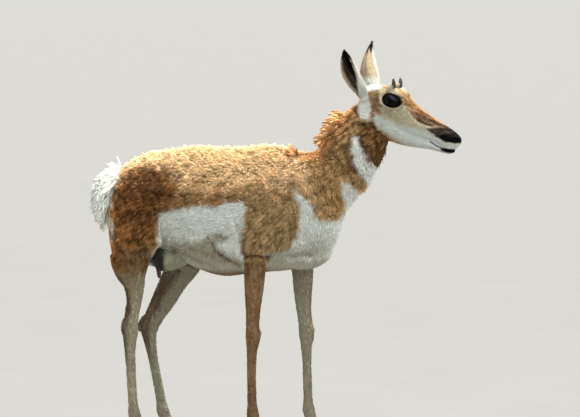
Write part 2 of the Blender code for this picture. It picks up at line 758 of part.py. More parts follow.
def tail_path():
    middle = (TAIL_ROOT + TAIL_TIP) / 2 + Vector((-0.015, 0, 0.012))
    return [Vector(p[:3]) for p in through([TAIL_ROOT, middle, TAIL_TIP], 7)]


def tail():
    """The core of the short tail, lying down over the rump."""
    return tube(tail_path(), [0.013, 0.014, 0.0145, 0.0140, 0.0125, 0.0095, 0.004], 10)


def tail_locks(rng):
    """Long white hairs all along the tail, past its tip."""
    made = []
    points = tail_path()
    for row in range(1, 6):
        way = (points[row + 1] - points[row - 1]).normalized()
        for angle in (-1.5, 0.0, 1.5) if row % 2 else (-0.8, 0.8):
            back = Vector((-1, 0, 0))
            outward = back * math.cos(angle) + Vector((0, 1, 0)) * math.sin(angle)
            root = points[row] + outward * 0.011
            size = (TAIL_LOCK[0] * rng.uniform(0.85, 1.1), TAIL_LOCK[1], TAIL_LOCK[2])
            made.append(lock(root, outward * 0.75 + way, way, size, 0.5))
    return made


# Rows of the nape's mane from the poll to the withers: x, z of the skin's top line there
NAPE = ((0.222, 0.988), (0.196, 0.958), (0.173, 0.925), (0.152, 0.893), (0.137, 0.868))
MANE_LOCK = (0.050, 0.0150, 0.0038)  # length, half width, half thickness
RUMP_LOCK = (0.046, 0.0190, 0.0036)
TAIL_LOCK = (0.042, 0.0125, 0.0034)
LOCK_SINK = 0.009


def lock(root, out, lie, size, bend):
    """A flat, tapered lock that leaves the skin along out and bends over towards lie."""
    length, half, thick = size
    way = out.normalized()
    lie = lie.normalized()
    across = way.cross(lie).normalized()
    point = root - way * LOCK_SINK
    rings = []
    for wide in (0.85, 1.0, 0.10):
        flat = way.cross(across).normalized()
        sides = (across * half, flat * thick, -across * half, -flat * thick)
        rings.append([point + side * wide for side in sides])
        point = point + way * ((length + LOCK_SINK) * 0.52)
        way = way.lerp(lie, bend).normalized()
    return loft(rings)


def surface_of(obj):
    """A tree for ray casts on an object's mesh."""
    shape = bmesh.new()
    shape.from_mesh(obj.data)
    tree = BVHTree.FromBMesh(shape)
    shape.free()
    return tree


def mane_locks(skin, rng):
    """Locks along the nape, in rows that lie back and down the neck over one another."""
    made = []
    rows = through([(x, 0, z) for x, z in NAPE], 9)
    lean = Vector((NAPE[-1][0] - NAPE[0][0], 0, NAPE[-1][1] - NAPE[0][1])).normalized()
    for row, (x, _, z) in enumerate(rows):
        count = 3 if row % 2 else 4
        for step in range(count):
            angle = math.radians(46) * (step - (count - 1) / 2)
            outward = Vector((lean.z * math.cos(angle), math.sin(angle), -lean.x * math.cos(angle)))
            start = Vector((x, -0.006, z)) + outward * 0.10
            hit, normal, _, _ = skin.ray_cast(start, -outward)
            if hit is None:
                continue
            size = (MANE_LOCK[0] * rng.uniform(0.85, 1.10), *MANE_LOCK[1:])
            made.append(lock(hit, normal * 0.62 + lean, lean + normal * 0.12, size, 0.5))
    return made


def rump_locks(skin, rng):
    """The raised white hair of the rump patch, in staggered rows that spread away from the tail."""
    made = []
    for row in range(9):
        z = 0.612 + 0.0255 * row
        count = 5 + row % 2
        for step in range(count):
            y = 0.034 * (step - (count - 1) / 2)
            hit, normal, _, _ = skin.ray_cast(Vector((-0.80, y, z)), Vector((1, 0, -0.10)))
            if hit is None:
                continue
            fan = Vector((-0.25, 9.0 * y, -1.0)) if z < 0.755 else Vector((-1.0, 7.0 * y, -0.1))
            lie = (fan - normal * fan.dot(normal)).normalized()
            size = (RUMP_LOCK[0] * rng.uniform(0.85, 1.10), *RUMP_LOCK[1:])
            made.append(lock(hit, normal * 0.80 + lie, lie + normal * 0.20, size, 0.5))
    return made


def clear_of(pieces, tree):
    """The pieces that a tree's surface doesn't touch, with a little room around each."""
    made = []
    for shape in pieces:
        middle = sum((v.co for v in shape.verts), Vector()) / len(shape.verts)
        wider = shape.copy()
        bmesh.ops.scale(wider, vec=(1.12, 1.12, 1.12), space=Matrix.Translation(-middle), verts=wider.verts)
        if not tree.overlap(BVHTree.FromBMesh(wider)):
            made.append(shape)
        wider.free()
    return made


def joined(obj, pieces):
    """One Boolean union of an object with all the pieces."""
    group = bpy.data.collections.new("locks")
    bpy.context.scene.collection.children.link(group)
    for number, shape in enumerate(pieces):
        piece = as_object(f"lock_{number}", shape)
        bpy.context.scene.collection.objects.unlink(piece)
        group.objects.link(piece)
    boolean(obj, group, "UNION")
    removed(*group.objects)
    bpy.data.collections.remove(group)
    return largest_only(obj)


# The head is cut off behind the jaw, and the neck in front of the shoulders: blocks turned about Y
HEAD_BLOCK = ((0.262, -0.30, 0.60), (0.80, 0.30, 1.40), -48.0, (0.262, 0, 0.935))
NECK_BLOCK = ((0.125, -0.30, 0.50), (0.60, 0.30, 1.40), -27.0, (0.125, 0, 0.760))

# Each leg's pieces from the trunk down, and the height of each one's top
FORE_PIECES = (("forearm", 0.515), ("knee", 0.362), ("cannon", 0.296), ("pastern", 0.114))
HIND_PIECES = (("gaskin", 0.520), ("hock", 0.402), ("cannon", 0.300), ("pastern", 0.114))

# The blocks that hold each upper leg: low corner, high corner on the left side, pitch and pivot
UPPER = {
    "fore_right": ((-0.105, 0.044, 0.45), (0.105, 0.200, 0.700), 18, (0.00, 0, 0.60)),
    "fore_left": ((-0.070, 0.044, 0.45), (0.135, 0.200, 0.700), 18, (0.03, 0, 0.60)),
    "hind_right": ((-0.620, 0.028, 0.45), (-0.322, 0.200, 0.720), 12, (-0.40, 0, 0.60)),
    "hind_left": ((-0.620, 0.028, 0.45), (-0.230, 0.200, 0.700), 12, (-0.40, 0, 0.60)),
}


def sided(leg, low, high):
    """The block's corners on the leg's own side."""
    if leg.endswith("left"):
        return low, high
    return (low[0], -high[1], low[2]), (high[0], -low[1], high[2])


def leg_pieces(body, leg):
    """Parts one leg from the body: the lower pieces from the floor up, then the shoulder or thigh."""
    rows = np.array(LEGS[leg])
    fore = leg.startswith("fore")
    names = FORE_PIECES if fore else HIND_PIECES
    bottoms = [top for _, top in names[1:]] + [HOOF_HEIGHT]
    made = []
    for (name, top), bottom in reversed(list(zip(names, bottoms))):
        spread = [(r[0] - r[3], r[0] + r[3]) for r in rows if bottom - 0.06 < r[2] < top + 0.03]
        low = (min(s[0] for s in spread) - 0.015, 0.036, bottom + GAP / 2)
        high = (max(s[1] for s in spread) + 0.015, 0.200, top - GAP / 2)
        made.append(parted(body, f"{leg}_{name}", *sided(leg, low, high)))
    low, high, pitch, pivot = UPPER[leg]
    low, high = sided(leg, low, high)
    name = "shoulder" if fore else "thigh"
    made.append(parted(body, f"{leg}_{name}", low, high, pitch, pivot))
    return made


def dressed(obj, look, home):
    """Gives a finished piece its material and its place in the animal's collection."""
    obj.data.materials.clear()
    obj.data.materials.append(look)
    for collection in list(obj.users_collection):
        collection.objects.unlink(obj)
    home.objects.link(obj)
    obj.data.transform(Matrix.Translation(-BOX_MIDDLE))
    obj.data.shade_smooth()
    obj.data.set_sharp_from_angle(angle=math.radians(40))
    return obj


def main():
    clear_scene()
    home = bpy.data.collections.new("pronghorn")
    bpy.context.scene.collection.children.link(home)
    hide = material("hide", TAN, 0.85)
    pale = material("pale_hide", PALE, 0.85)
    black_horn = material("black_horn", BLACK, 0.45)
    wet_eye = material("wet_eye", BLACK, 0.08)
    dark_skin = material("dark_skin", GREY, 0.7)

    body = flesh()
    thinned(body, FLESH_TRIANGLES, coarseness)
    largest_only(body)

    # what sits on the flesh is cut to it
    shell = swollen(body, GAP * 1.4)
    bag = boolean(udder(), shell, "DIFFERENCE", "MANIFOLD")
    largest_only(bag)
    rng = np.random.default_rng(7)
    skin = surface_of(body)
    locks = mane_locks(skin, rng) + rump_locks(skin, rng)
    brush = joined(as_object("tail", tail()), tail_locks(rng))
    boolean(brush, shell, "DIFFERENCE", "MANIFOLD")
    largest_only(brush)
    cups = []
    for side, word in ((-1, "right"), (1, "left")):
        cup = as_object(f"ear_{word}", ear(side))
        boolean(cup, shell, "DIFFERENCE", "MANIFOLD")
        cups.append(largest_only(cup))
        spike = as_object(f"horn_{word}", horn(side))
        boolean(spike, shell, "DIFFERENCE", "MANIFOLD")
        dressed(largest_only(spike), black_horn, home)
        ball = as_object(f"eye_{word}", eye(side))
        socket = swollen(ball, GAP * 1.4)
        boolean(body, socket, "DIFFERENCE")
        dressed(ball, wet_eye, home)
        removed(socket)
    for shape in face_cuts():
        shape.transform(HEAD)
        cut = as_object("face_cut", shape)
        boolean(body, cut, "DIFFERENCE")
        removed(cut)
    removed(shell)
    for piece in (brush, bag, *cups):
        locks = clear_of(locks, surface_of(piece))
    joined(body, locks)
    for cup in cups:
        dressed(cup, pale, home)
    dressed(brush, pale, home)
    dressed(bag, dark_skin, home)

    for leg in LEGS:
        for piece in leg_pieces(body, leg):
            dressed(piece, hide, home)
        foot = LEGS[leg][-2]
        for word, out in (("right", -1), ("left", 1)):
            hoof = as_object(f"{leg}_{word}_toe", toe((foot[0] + 0.004, foot[1]), out))
            dressed(hoof, black_horn, home)
    head = parted(body, "head", *HEAD_BLOCK)
    neck = parted(body, "neck", *NECK_BLOCK)
    body.name = "torso"
    for piece in (head, neck, body):
        dressed(piece, hide, home)


if __name__ == "__main__":
    main()
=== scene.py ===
import math

import bmesh
import bpy
import numpy as np
from mathutils import Matrix, Vector


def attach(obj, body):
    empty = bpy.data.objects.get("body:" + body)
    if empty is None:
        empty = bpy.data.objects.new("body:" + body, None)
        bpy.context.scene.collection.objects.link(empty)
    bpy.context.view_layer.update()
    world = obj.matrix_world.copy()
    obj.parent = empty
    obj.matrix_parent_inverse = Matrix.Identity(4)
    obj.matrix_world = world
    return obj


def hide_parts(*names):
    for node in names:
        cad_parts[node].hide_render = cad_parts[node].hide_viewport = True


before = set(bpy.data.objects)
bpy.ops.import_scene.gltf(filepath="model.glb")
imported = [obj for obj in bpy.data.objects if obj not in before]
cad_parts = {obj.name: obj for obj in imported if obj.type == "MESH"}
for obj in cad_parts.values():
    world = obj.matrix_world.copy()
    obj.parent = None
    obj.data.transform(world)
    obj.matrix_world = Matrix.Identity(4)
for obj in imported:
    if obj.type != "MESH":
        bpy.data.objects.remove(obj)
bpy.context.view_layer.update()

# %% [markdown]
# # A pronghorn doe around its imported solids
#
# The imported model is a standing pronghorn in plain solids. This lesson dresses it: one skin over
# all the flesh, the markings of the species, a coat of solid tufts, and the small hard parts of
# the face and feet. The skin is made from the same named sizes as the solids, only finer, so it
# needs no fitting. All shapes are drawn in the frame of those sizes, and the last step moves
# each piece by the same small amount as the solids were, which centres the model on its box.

BOX_MIDDLE = Vector((-0.0073, -0.0001, 0.0))
SCENE = bpy.context.scene

# %% [markdown]
# ## Camera, floor and light
#
# The photograph was taken from the animal's right side with a long lens, looking down by three
# degrees, so the back and belly lines are nearly those of a side view. The frame is 1.657 metres
# wide at the animal. Sunlight fell from above and behind, and an open sky lit the near side. A
# wide soft sun in that place keeps the bright back and the even flanks; boxes give the eye a glint.

# %% Camera
VIEW_DOWN = math.radians(3)
VIEW_DISTANCE = 15.0
VIEW_WIDTH = 1.657
SENSOR = 36.0
aim = Vector((0.0357, 0.0, 0.684)) - BOX_MIDDLE
lens_data = bpy.data.cameras.new("camera")
lens_data.sensor_width = SENSOR
lens_data.lens = SENSOR * VIEW_DISTANCE / VIEW_WIDTH
lens_data.clip_end = 400
camera = bpy.data.objects.new("camera", lens_data)
camera.location = aim + VIEW_DISTANCE * Vector((0, -math.cos(VIEW_DOWN), math.sin(VIEW_DOWN)))
camera.rotation_euler = (math.pi / 2 - VIEW_DOWN, 0, 0)
SCENE.collection.objects.link(camera)
SCENE.camera = camera
print("lens", round(lens_data.lens), "mm")


# %% Floor, sky and lamps
def lamp(name, place, aim_at, size, power, colour=(1, 1, 1)):
    data = bpy.data.lights.new(name, "AREA")
    data.shape = "DISK"
    data.size = size
    data.energy = power
    data.color = colour
    made = bpy.data.objects.new(name, data)
    made.location = place
    made.rotation_euler = (Vector(aim_at) - Vector(place)).to_track_quat("-Z", "Y").to_euler()
    SCENE.collection.objects.link(made)


sun_data = bpy.data.lights.new("sun", "SUN")
sun_data.energy = 8.4
sun_data.angle = math.radians(9)
sun_data.color = (1.0, 0.95, 0.87)
sun = bpy.data.objects.new("sun", sun_data)
sun.rotation_euler = Vector((0.12, 0.24, 1.0)).to_track_quat("Z", "Y").to_euler()
SCENE.collection.objects.link(sun)
lamp("front_box", (1.0, -2.6, 3.6), (0.05, 0, 0.75), 1.4, 42, (0.92, 0.97, 1.0))
lamp("head_box", (3.6, -1.6, 2.0), (0.3, 0, 0.9), 1.2, 8, (0.95, 0.98, 1.0))
sky = bpy.data.worlds.new("sky")
sky.use_nodes = True
sky.node_tree.nodes["Background"].inputs["Color"].default_value = (0.93, 0.97, 1.0, 1)
sky.node_tree.nodes["Background"].inputs["Strength"].default_value = 0.98
SCENE.view_settings.view_transform = "Standard"
SCENE.world = sky

# %% [markdown]
# ## Wiring nodes from Python
#
# Materials and geometry trees are both nets of nodes. Two small classes keep them readable: a
# Wire is an output that can stand in a sum or product, and a Net makes a node from its type, its
# settings and what goes into its sockets.


# %% Wires and nets
class Wire:
    """An output socket that can stand in sums and products."""

    def __init__(self, net, socket):
        self.net = net
        self.socket = socket

    def worked(self, operation, first, second=0.0):
        return self.net.node("ShaderNodeMath", {"operation": operation}, {0: first, 1: second})

    def __add__(self, other):
        return self.worked("ADD", self, other)

    def __sub__(self, other):
        return self.worked("SUBTRACT", self, other)

    def __rsub__(self, other):
        return self.worked("SUBTRACT", other, self)

    def __mul__(self, other):
        return self.worked("MULTIPLY", self, other)

    __radd__ = __add__
    __rmul__ = __mul__


class Net:
    """A tree of nodes."""

    def __init__(self, tree):
        self.tree = tree

    def node(self, kind, settings=None, values=None, output=0):
        made = self.tree.nodes.new(kind)
        for name, value in (settings or {}).items():
            setattr(made, name, value)
        for place, value in (values or {}).items():
            if isinstance(value, Wire):
                self.tree.links.new(value.socket, made.inputs[place])
            else:
                made.inputs[place].default_value = value
        return Wire(self, made.outputs[output])


def linear(colour):
    """A colour as it is read off a screen, in the linear values that shaders use."""
    share = np.array(colour, float) / 255
    return np.where(share <= 0.04045, share / 12.92, ((share + 0.055) / 1.055) ** 2.4)


class Paint(Net):
    """A material: its net, and the shader that the net feeds."""

    def __init__(self, name, **constants):
        self.material = bpy.data.materials.new(name)
        self.material.use_nodes = True
        super().__init__(self.material.node_tree)
        self.shader = self.tree.nodes["Principled BSDF"]
        for key, value in constants.items():
            self.shader.inputs[key.replace("_", " ")].default_value = value

    def feed(self, **wires):
        for key, wire in wires.items():
            self.tree.links.new(wire.socket, self.shader.inputs[key.replace("_", " ")])

    def read(self, name):
        """A colour attribute of the mesh."""
        return self.node("ShaderNodeAttribute", {"attribute_name": name})

    def number(self, name):
        """A number attribute of the mesh."""
        return self.node("ShaderNodeAttribute", {"attribute_name": name}, output=2)

    def place(self, stretch=(1, 1, 1)):
        """Object coordinates, stretched."""
        spot = self.node("ShaderNodeTexCoord", output=3)
        return self.node("ShaderNodeMapping", None, {"Vector": spot, "Scale": stretch})

    def noise(self, where, scale, detail=3.0):
        return self.node("ShaderNodeTexNoise", None, {"Vector": where, "Scale": scale, "Detail": detail})

    def between(self, share, first, second):
        """A mix of two colours."""
        colours = [c if isinstance(c, Wire) else (*c, 1) for c in (first, second)]
        values = {0: share, 6: colours[0], 7: colours[1]}
        return self.node("ShaderNodeMix", {"data_type": "RGBA"}, values, output=2)

    def scaled(self, colour, factor):
        """A colour times a number."""
        return self.node("ShaderNodeVectorMath", {"operation": "SCALE"}, {0: colour, "Scale": factor})

    def bumped(self, height, distance, strength=1.0):
        values = {"Height": height, "Distance": distance, "Strength": strength}
        self.feed(Normal=self.node("ShaderNodeBump", None, values))


# %% Floor
FLOOR_HALF = 160.0
floor_paint = Paint("floor", Roughness=0.9)
grain = floor_paint.noise(floor_paint.place(), 3.0)
floor_paint.feed(Base_Color=floor_paint.between(grain, (0.160, 0.164, 0.160), (0.180, 0.180, 0.176)))
floor_mesh = bpy.data.meshes.new("floor")
corners = [(x, y, 0) for x, y in ((-1, -1), (1, -1), (1, 1), (-1, 1))]
floor_mesh.from_pydata([Vector(c) * FLOOR_HALF for c in corners], [], [(0, 1, 2, 3)])
floor_mesh.materials.append(floor_paint.material)
floor = bpy.data.objects.new("floor", floor_mesh)
SCENE.collection.objects.link(floor)

# %% [markdown]
# ## The shapes under the coat
#
# A body is drawn as an artist blocks it in: the barrel, neck, skull and legs are lofts through a
# few measured sections, and rounded masses are the muscles over them. They may cross each other,
# because a voxel remesh then fuses them into one skin, and smoothing melts the joins. Sculpting
# by hand would look as good, but only sections in a table can be shared with the solids.

# %% The sizes that the solids have too
# The head's own frame: u forward to the nose, s to its left, v up, from the point between the eyes
HEAD_EYES = Vector((0.339, -0.020, 0.995))
HEAD_PITCH = math.radians(27)
HEAD_YAW = math.radians(-15)
HEAD = (
    Matrix.Translation(HEAD_EYES)
    @ Matrix.Rotation(HEAD_YAW, 4, "Z")
    @ Matrix.Rotation(HEAD_PITCH, 4, "Y")
)

EYE_RADIUS = 0.0275
EYE_PLACE = Vector((-0.002, 0.0345, -0.001))  # the left eye, in the head's frame
LID_WIDTH = 0.0265  # half the opening between the lids
LID_HEIGHT = 0.0195
HORN_PLACE = Vector((-0.0175, 0.0375, 0.024))
HORN_LENGTH = 0.034
HORN_RADIUS = 0.0080
EAR_WALL = 0.0024
EAR_TWIST = math.radians(80)  # from root to tip, the opening turning outwards
HOOF_HEIGHT = 0.030
HOOF_LENGTH = 0.060
TOE_WIDTH = 0.0215
TAIL_ROOT = Vector((-0.444, 0.0, 0.784))
TAIL_TIP = Vector((-0.506, 0.0, 0.694))
UDDER_PLACE = Vector((-0.316, 0.0, 0.545))


# %% Curves, lofts and masses
def through(rows, count):
    """A smooth curve through the rows, at count places evenly spaced along its length."""
    rows = np.array(rows, float)
    steps = np.linalg.norm(np.diff(rows[:, :3], axis=0), axis=1)
    along = np.concatenate([[0], np.cumsum(np.maximum(steps, 1e-6))])
    slope = np.gradient(rows, along, axis=0)
    at = np.linspace(0, along[-1], count)
    left = np.clip(np.searchsorted(along, at, side="right") - 1, 0, len(along) - 2)
    span = (along[left + 1] - along[left])[:, None]
    t = ((at - along[left])[:, None]) / span
    return (
        rows[left] * (2 * t**3 - 3 * t**2 + 1)
        + rows[left + 1] * (3 * t**2 - 2 * t**3)
        + slope[left] * span * (t**3 - 2 * t**2 + t)
        + slope[left + 1] * span * (t**3 - t**2)
    )


def power(value, exponent):
    return np.sign(value) * np.abs(value) ** exponent


def loft(rings, strip_ends=False):
    """A closed bmesh through rings of equal length, with fans at its ends, or strips for a sheet."""
    made = bmesh.new()
    levels = [[made.verts.new(p) for p in ring] for ring in rings]
    count = len(levels[0])
    for low, high in zip(levels, levels[1:]):
        for i in range(count):
            j = (i + 1) % count
            made.faces.new((low[i], low[j], high[j], high[i]))
    for level in (levels[0], levels[-1]):
        if strip_ends:
            for i in range(count // 2 - 1):
                made.faces.new((level[i], level[i + 1], level[count - 2 - i], level[count - 1 - i]))
            continue
        middle = made.verts.new(sum((v.co for v in level), Vector()) / count)
        for i in range(count):
            made.faces.new((level[(i + 1) % count], level[i], middle))
    bmesh.ops.recalc_face_normals(made, faces=made.faces)
    return made


def upright_loft(rows, rings, around):
    """Sections across X, or the head's u.

    A row is x, top, bottom, half width, height of the widest place, upper and lower power.
    """
    turn = np.linspace(0, 2 * math.pi, around, endpoint=False)
    made = []
    path = through([(r[0], 0, 0, *r[1:]) for r in rows], rings)
    for x, _, _, top, bottom, half, widest, up, low in path:
        middle = bottom + widest * (top - bottom)
        above = np.sin(turn) > 0
        rise = np.where(above, top - middle, middle - bottom)
        bend = np.where(above, up, low)
        y = half * power(np.cos(turn), 2 / bend)
        z = middle + rise * power(np.sin(turn), 2 / bend)
        made.append([Vector((x, a, b)) for a, b in zip(y, z)])
    return loft(made)


def limb_loft(rows, rings, around):
    """Sections across a path. A row is x, y, z, half depth fore and aft, half width."""
    path = through(rows, rings)
    ahead = np.gradient(path[:, :3], axis=0)
    turn = np.linspace(0, 2 * math.pi, around, endpoint=False)
    made = []
    for row, way in zip(path, ahead):
        way = Vector(way).normalized()
        side = (Vector((0, 1, 0)) - way * way.y).normalized()
        front = side.cross(way)
        middle = Vector(row[:3])
        made.append([middle + front * (row[3] * math.cos(a)) + side * (row[4] * math.sin(a)) for a in turn])
    return loft(made)


def tube(points, radii, around=8):
    """A round tube along the points, closed at both ends."""
    made = []
    for i, point in enumerate(points):
        way = (points[min(i + 1, len(points) - 1)] - points[max(i - 1, 0)]).normalized()
        side = way.orthogonal().normalized() if i == 0 else (side - way * side.dot(way)).normalized()
        across = way.cross(side)
        turn = [2 * math.pi * k / around for k in range(around)]
        made.append([point + (side * math.cos(a) + across * math.sin(a)) * radii[i] for a in turn])
    return loft(made)


def mass(centre, radii, pitch=0.0, yaw=0.0, roll=0.0):
    """A rounded mass of flesh: an ellipsoid turned by roll, pitch and yaw in degrees."""
    made = bmesh.new()
    bmesh.ops.create_uvsphere(made, u_segments=20, v_segments=12, radius=1)
    turn = (
        Matrix.Rotation(math.radians(yaw), 4, "Z")
        @ Matrix.Rotation(math.radians(pitch), 4, "Y")
        @ Matrix.Rotation(math.radians(roll), 4, "X")
    )
    made.transform(Matrix.Translation(centre) @ turn @ Matrix.Diagonal((*radii, 1)))
    return made


def gathered(shapes, place=None):
    """One bmesh that holds all the shapes, which may cross each other until the voxel remesh."""
    made = bmesh.new()
    for shape in shapes:
        if place:
            shape.transform(place)
        mesh = bpy.data.meshes.new("piece")
        shape.to_mesh(mesh)
        shape.free()
        made.from_mesh(mesh)
        bpy.data.meshes.remove(mesh)
    return made


def as_object(name, shape):
    mesh = bpy.data.meshes.new(name)
    shape.to_mesh(mesh)
    shape.free()
    made = bpy.data.objects.new(name, mesh)
    bpy.context.scene.collection.objects.link(made)
    return made


def twin_of(obj, name):
    made = bpy.data.objects.new(name, obj.data.copy())
    bpy.context.scene.collection.objects.link(made)
    return made


def removed(*objects):
    for obj in objects:
        bpy.data.objects.remove(obj, do_unlink=True)


def baked(obj):
    """Replaces an object's mesh by its evaluated one and drops the modifiers."""
    graph = bpy.context.evaluated_depsgraph_get()
    mesh = bpy.data.meshes.new_from_object(obj.evaluated_get(graph))
    old = obj.data
    obj.modifiers.clear()
    obj.data = mesh
    bpy.data.meshes.remove(old)
    obj.vertex_groups.clear()
    return obj


def weighted(obj, name, weight):
    """A vertex group whose values are weight(points)."""
    group = obj.vertex_groups.new(name=name)
    points = np.array([v.co for v in obj.data.vertices])
    values = np.round(weight(points), 2)
    for value in np.unique(values):
        group.add(np.flatnonzero(values == value).tolist(), float(value), "REPLACE")
    return group.name


def remeshed(obj, voxel):
    change = obj.modifiers.new("voxels", "REMESH")
    change.mode = "VOXEL"
    change.voxel_size = voxel
    return baked(obj)


def softened(obj, rounds, weight=None):
    change = obj.modifiers.new("soften", "SMOOTH")
    change.factor = 0.5
    change.iterations = rounds
    if weight:
        change.vertex_group = weighted(obj, "soft", weight)
    return baked(obj)


# %% Sections of the trunk, neck and head
TRUNK = [
    # x, top, bottom, half width, widest, upper power, lower power
    (-0.498, 0.735, 0.655, 0.030, 0.5, 2.0, 2.0),
    (-0.488, 0.765, 0.620, 0.058, 0.5, 2.0, 2.0),
    (-0.463, 0.790, 0.595, 0.083, 0.5, 2.0, 2.0),
    (-0.425, 0.815, 0.580, 0.100, 0.5, 2.0, 2.0),
    (-0.374, 0.843, 0.572, 0.108, 0.5, 1.9, 2.0),
    (-0.317, 0.852, 0.562, 0.112, 0.48, 1.8, 2.1),
    (-0.230, 0.864, 0.514, 0.125, 0.44, 1.8, 2.2),
    (-0.150, 0.859, 0.491, 0.133, 0.43, 1.8, 2.2),
    (-0.095, 0.861, 0.496, 0.130, 0.43, 1.8, 2.2),
    (-0.028, 0.869, 0.503, 0.117, 0.42, 1.7, 2.1),
    (0.030, 0.864, 0.508, 0.104, 0.42, 1.6, 2.1),
    (0.080, 0.842, 0.518, 0.094, 0.42, 1.7, 2.0),
    (0.120, 0.800, 0.538, 0.084, 0.42, 1.9, 2.0),
    (0.155, 0.745, 0.568, 0.068, 0.45, 2.0, 2.0),
    (0.175, 0.700, 0.605, 0.045, 0.48, 2.0, 2.0),
    (0.184, 0.670, 0.630, 0.018, 0.5, 2.0, 2.0),
]

NECK = [
    # x, y, z, half depth, half width
    (0.020, 0.000, 0.655, 0.120, 0.070),
    (0.066, 0.000, 0.692, 0.136, 0.078),
    (0.094, 0.000, 0.722, 0.124, 0.076),
    (0.136, 0.000, 0.756, 0.101, 0.069),
    (0.185, -0.001, 0.792, 0.088, 0.060),
    (0.2165, -0.003, 0.846, 0.085, 0.054),
    (0.2400, -0.006, 0.890, 0.085, 0.050),
    (0.2600, -0.010, 0.928, 0.075, 0.047),
    (0.2780, -0.014, 0.960, 0.058, 0.042),
    (0.2950, -0.016, 0.985, 0.036, 0.034),
]

SKULL = [
    # u, top, bottom, half width, widest, upper power, lower power
    (-0.096, -0.008, -0.045, 0.014, 0.5, 2.0, 2.0),
    (-0.088, 0.003, -0.060, 0.030, 0.5, 2.0, 2.0),
    (-0.070, 0.013, -0.075, 0.042, 0.6, 2.1, 2.0),
    (-0.040, 0.023, -0.085, 0.047, 0.65, 2.3, 2.0),
    (-0.010, 0.030, -0.090, 0.047, 0.68, 2.4, 2.0),
    (0.020, 0.028, -0.090, 0.046, 0.65, 2.3, 2.0),
    (0.045, 0.020, -0.086, 0.042, 0.60, 2.1, 2.1),
    (0.070, 0.014, -0.080, 0.037, 0.55, 2.0, 2.2),
    (0.100, 0.0095, -0.071, 0.032, 0.52, 2.0, 2.3),
    (0.134, 0.0055, -0.062, 0.0285, 0.5, 2.0, 2.3),
    (0.165, 0.003, -0.057, 0.0275, 0.48, 2.0, 2.3),
    (0.190, 0.000, -0.053, 0.028, 0.46, 2.1, 2.3),
    (0.207, -0.004, -0.047, 0.025, 0.46, 2.1, 2.2),
    (0.218, -0.011, -0.041, 0.018, 0.46, 2.0, 2.0),
    (0.2235, -0.020, -0.034, 0.008, 0.5, 2.0, 2.0),
]

JAW = [
    (-0.022, -0.040, -0.080, 0.026, 0.5, 2.0, 2.0),
    (0.005, -0.040, -0.103, 0.036, 0.6, 2.0, 1.9),
    (0.030, -0.048, -0.1135, 0.036, 0.6, 2.0, 1.8),
    (0.055, -0.052, -0.112, 0.032, 0.6, 2.0, 1.8),
    (0.086, -0.054, -0.1045, 0.0255, 0.6, 2.0, 1.8),
    (0.124, -0.0520, -0.0914, 0.0215, 0.55, 2.0, 1.9),
    (0.150, -0.0500, -0.0815, 0.0205, 0.5, 2.0, 2.0),
    (0.175, -0.0500, -0.0755, 0.0205, 0.5, 2.1, 2.0),
    (0.195, -0.0440, -0.0705, 0.0195, 0.5, 2.1, 2.0),
    (0.209, -0.0390, -0.0640, 0.0165, 0.5, 2.0, 2.0),
    (0.2180, -0.0380, -0.0575, 0.0100, 0.5, 2.0, 2.0),
]

# The mouth's slit from its corners to past the lips: u, v of its middle, half height
MOUTH = (
    (0.140, -0.0575, 0.0003),
    (0.152, -0.0590, 0.0008),
    (0.168, -0.0600, 0.0010),
    (0.185, -0.0580, 0.0010),
    (0.203, -0.0530, 0.0011),
    (0.219, -0.0460, 0.0012),
    (0.235, -0.0370, 0.0014),
)


# %% Sections of the legs
FORE_RIGHT = [
    # x, y, z, half depth, half width
    (-0.030, -0.078, 0.640, 0.060, 0.036),
    (-0.050, -0.078, 0.600, 0.048, 0.034),
    (-0.061, -0.076, 0.550, 0.037, 0.031),
    (-0.0650, -0.074, 0.500, 0.0310, 0.0265),
    (-0.0665, -0.072, 0.465, 0.0285, 0.0240),
    (-0.0686, -0.070, 0.420, 0.0240, 0.0205),
    (-0.0700, -0.069, 0.376, 0.0203, 0.0180),
    (-0.0705, -0.068, 0.350, 0.0198, 0.0185),
    (-0.0695, -0.068, 0.330, 0.0218, 0.0212),
    (-0.0700, -0.068, 0.310, 0.0208, 0.0202),
    (-0.0720, -0.068, 0.288, 0.0165, 0.0165),
    (-0.0735, -0.068, 0.250, 0.0142, 0.0132),
    (-0.0735, -0.068, 0.180, 0.0137, 0.0126),
    (-0.0720, -0.068, 0.125, 0.0148, 0.0136),
    (-0.0700, -0.068, 0.098, 0.0182, 0.0180),
    (-0.0640, -0.068, 0.078, 0.0165, 0.0168),
    (-0.0560, -0.068, 0.058, 0.0150, 0.0165),
    (-0.0500, -0.068, 0.038, 0.0190, 0.0205),
    (-0.0460, -0.068, 0.010, 0.0220, 0.0215),
]

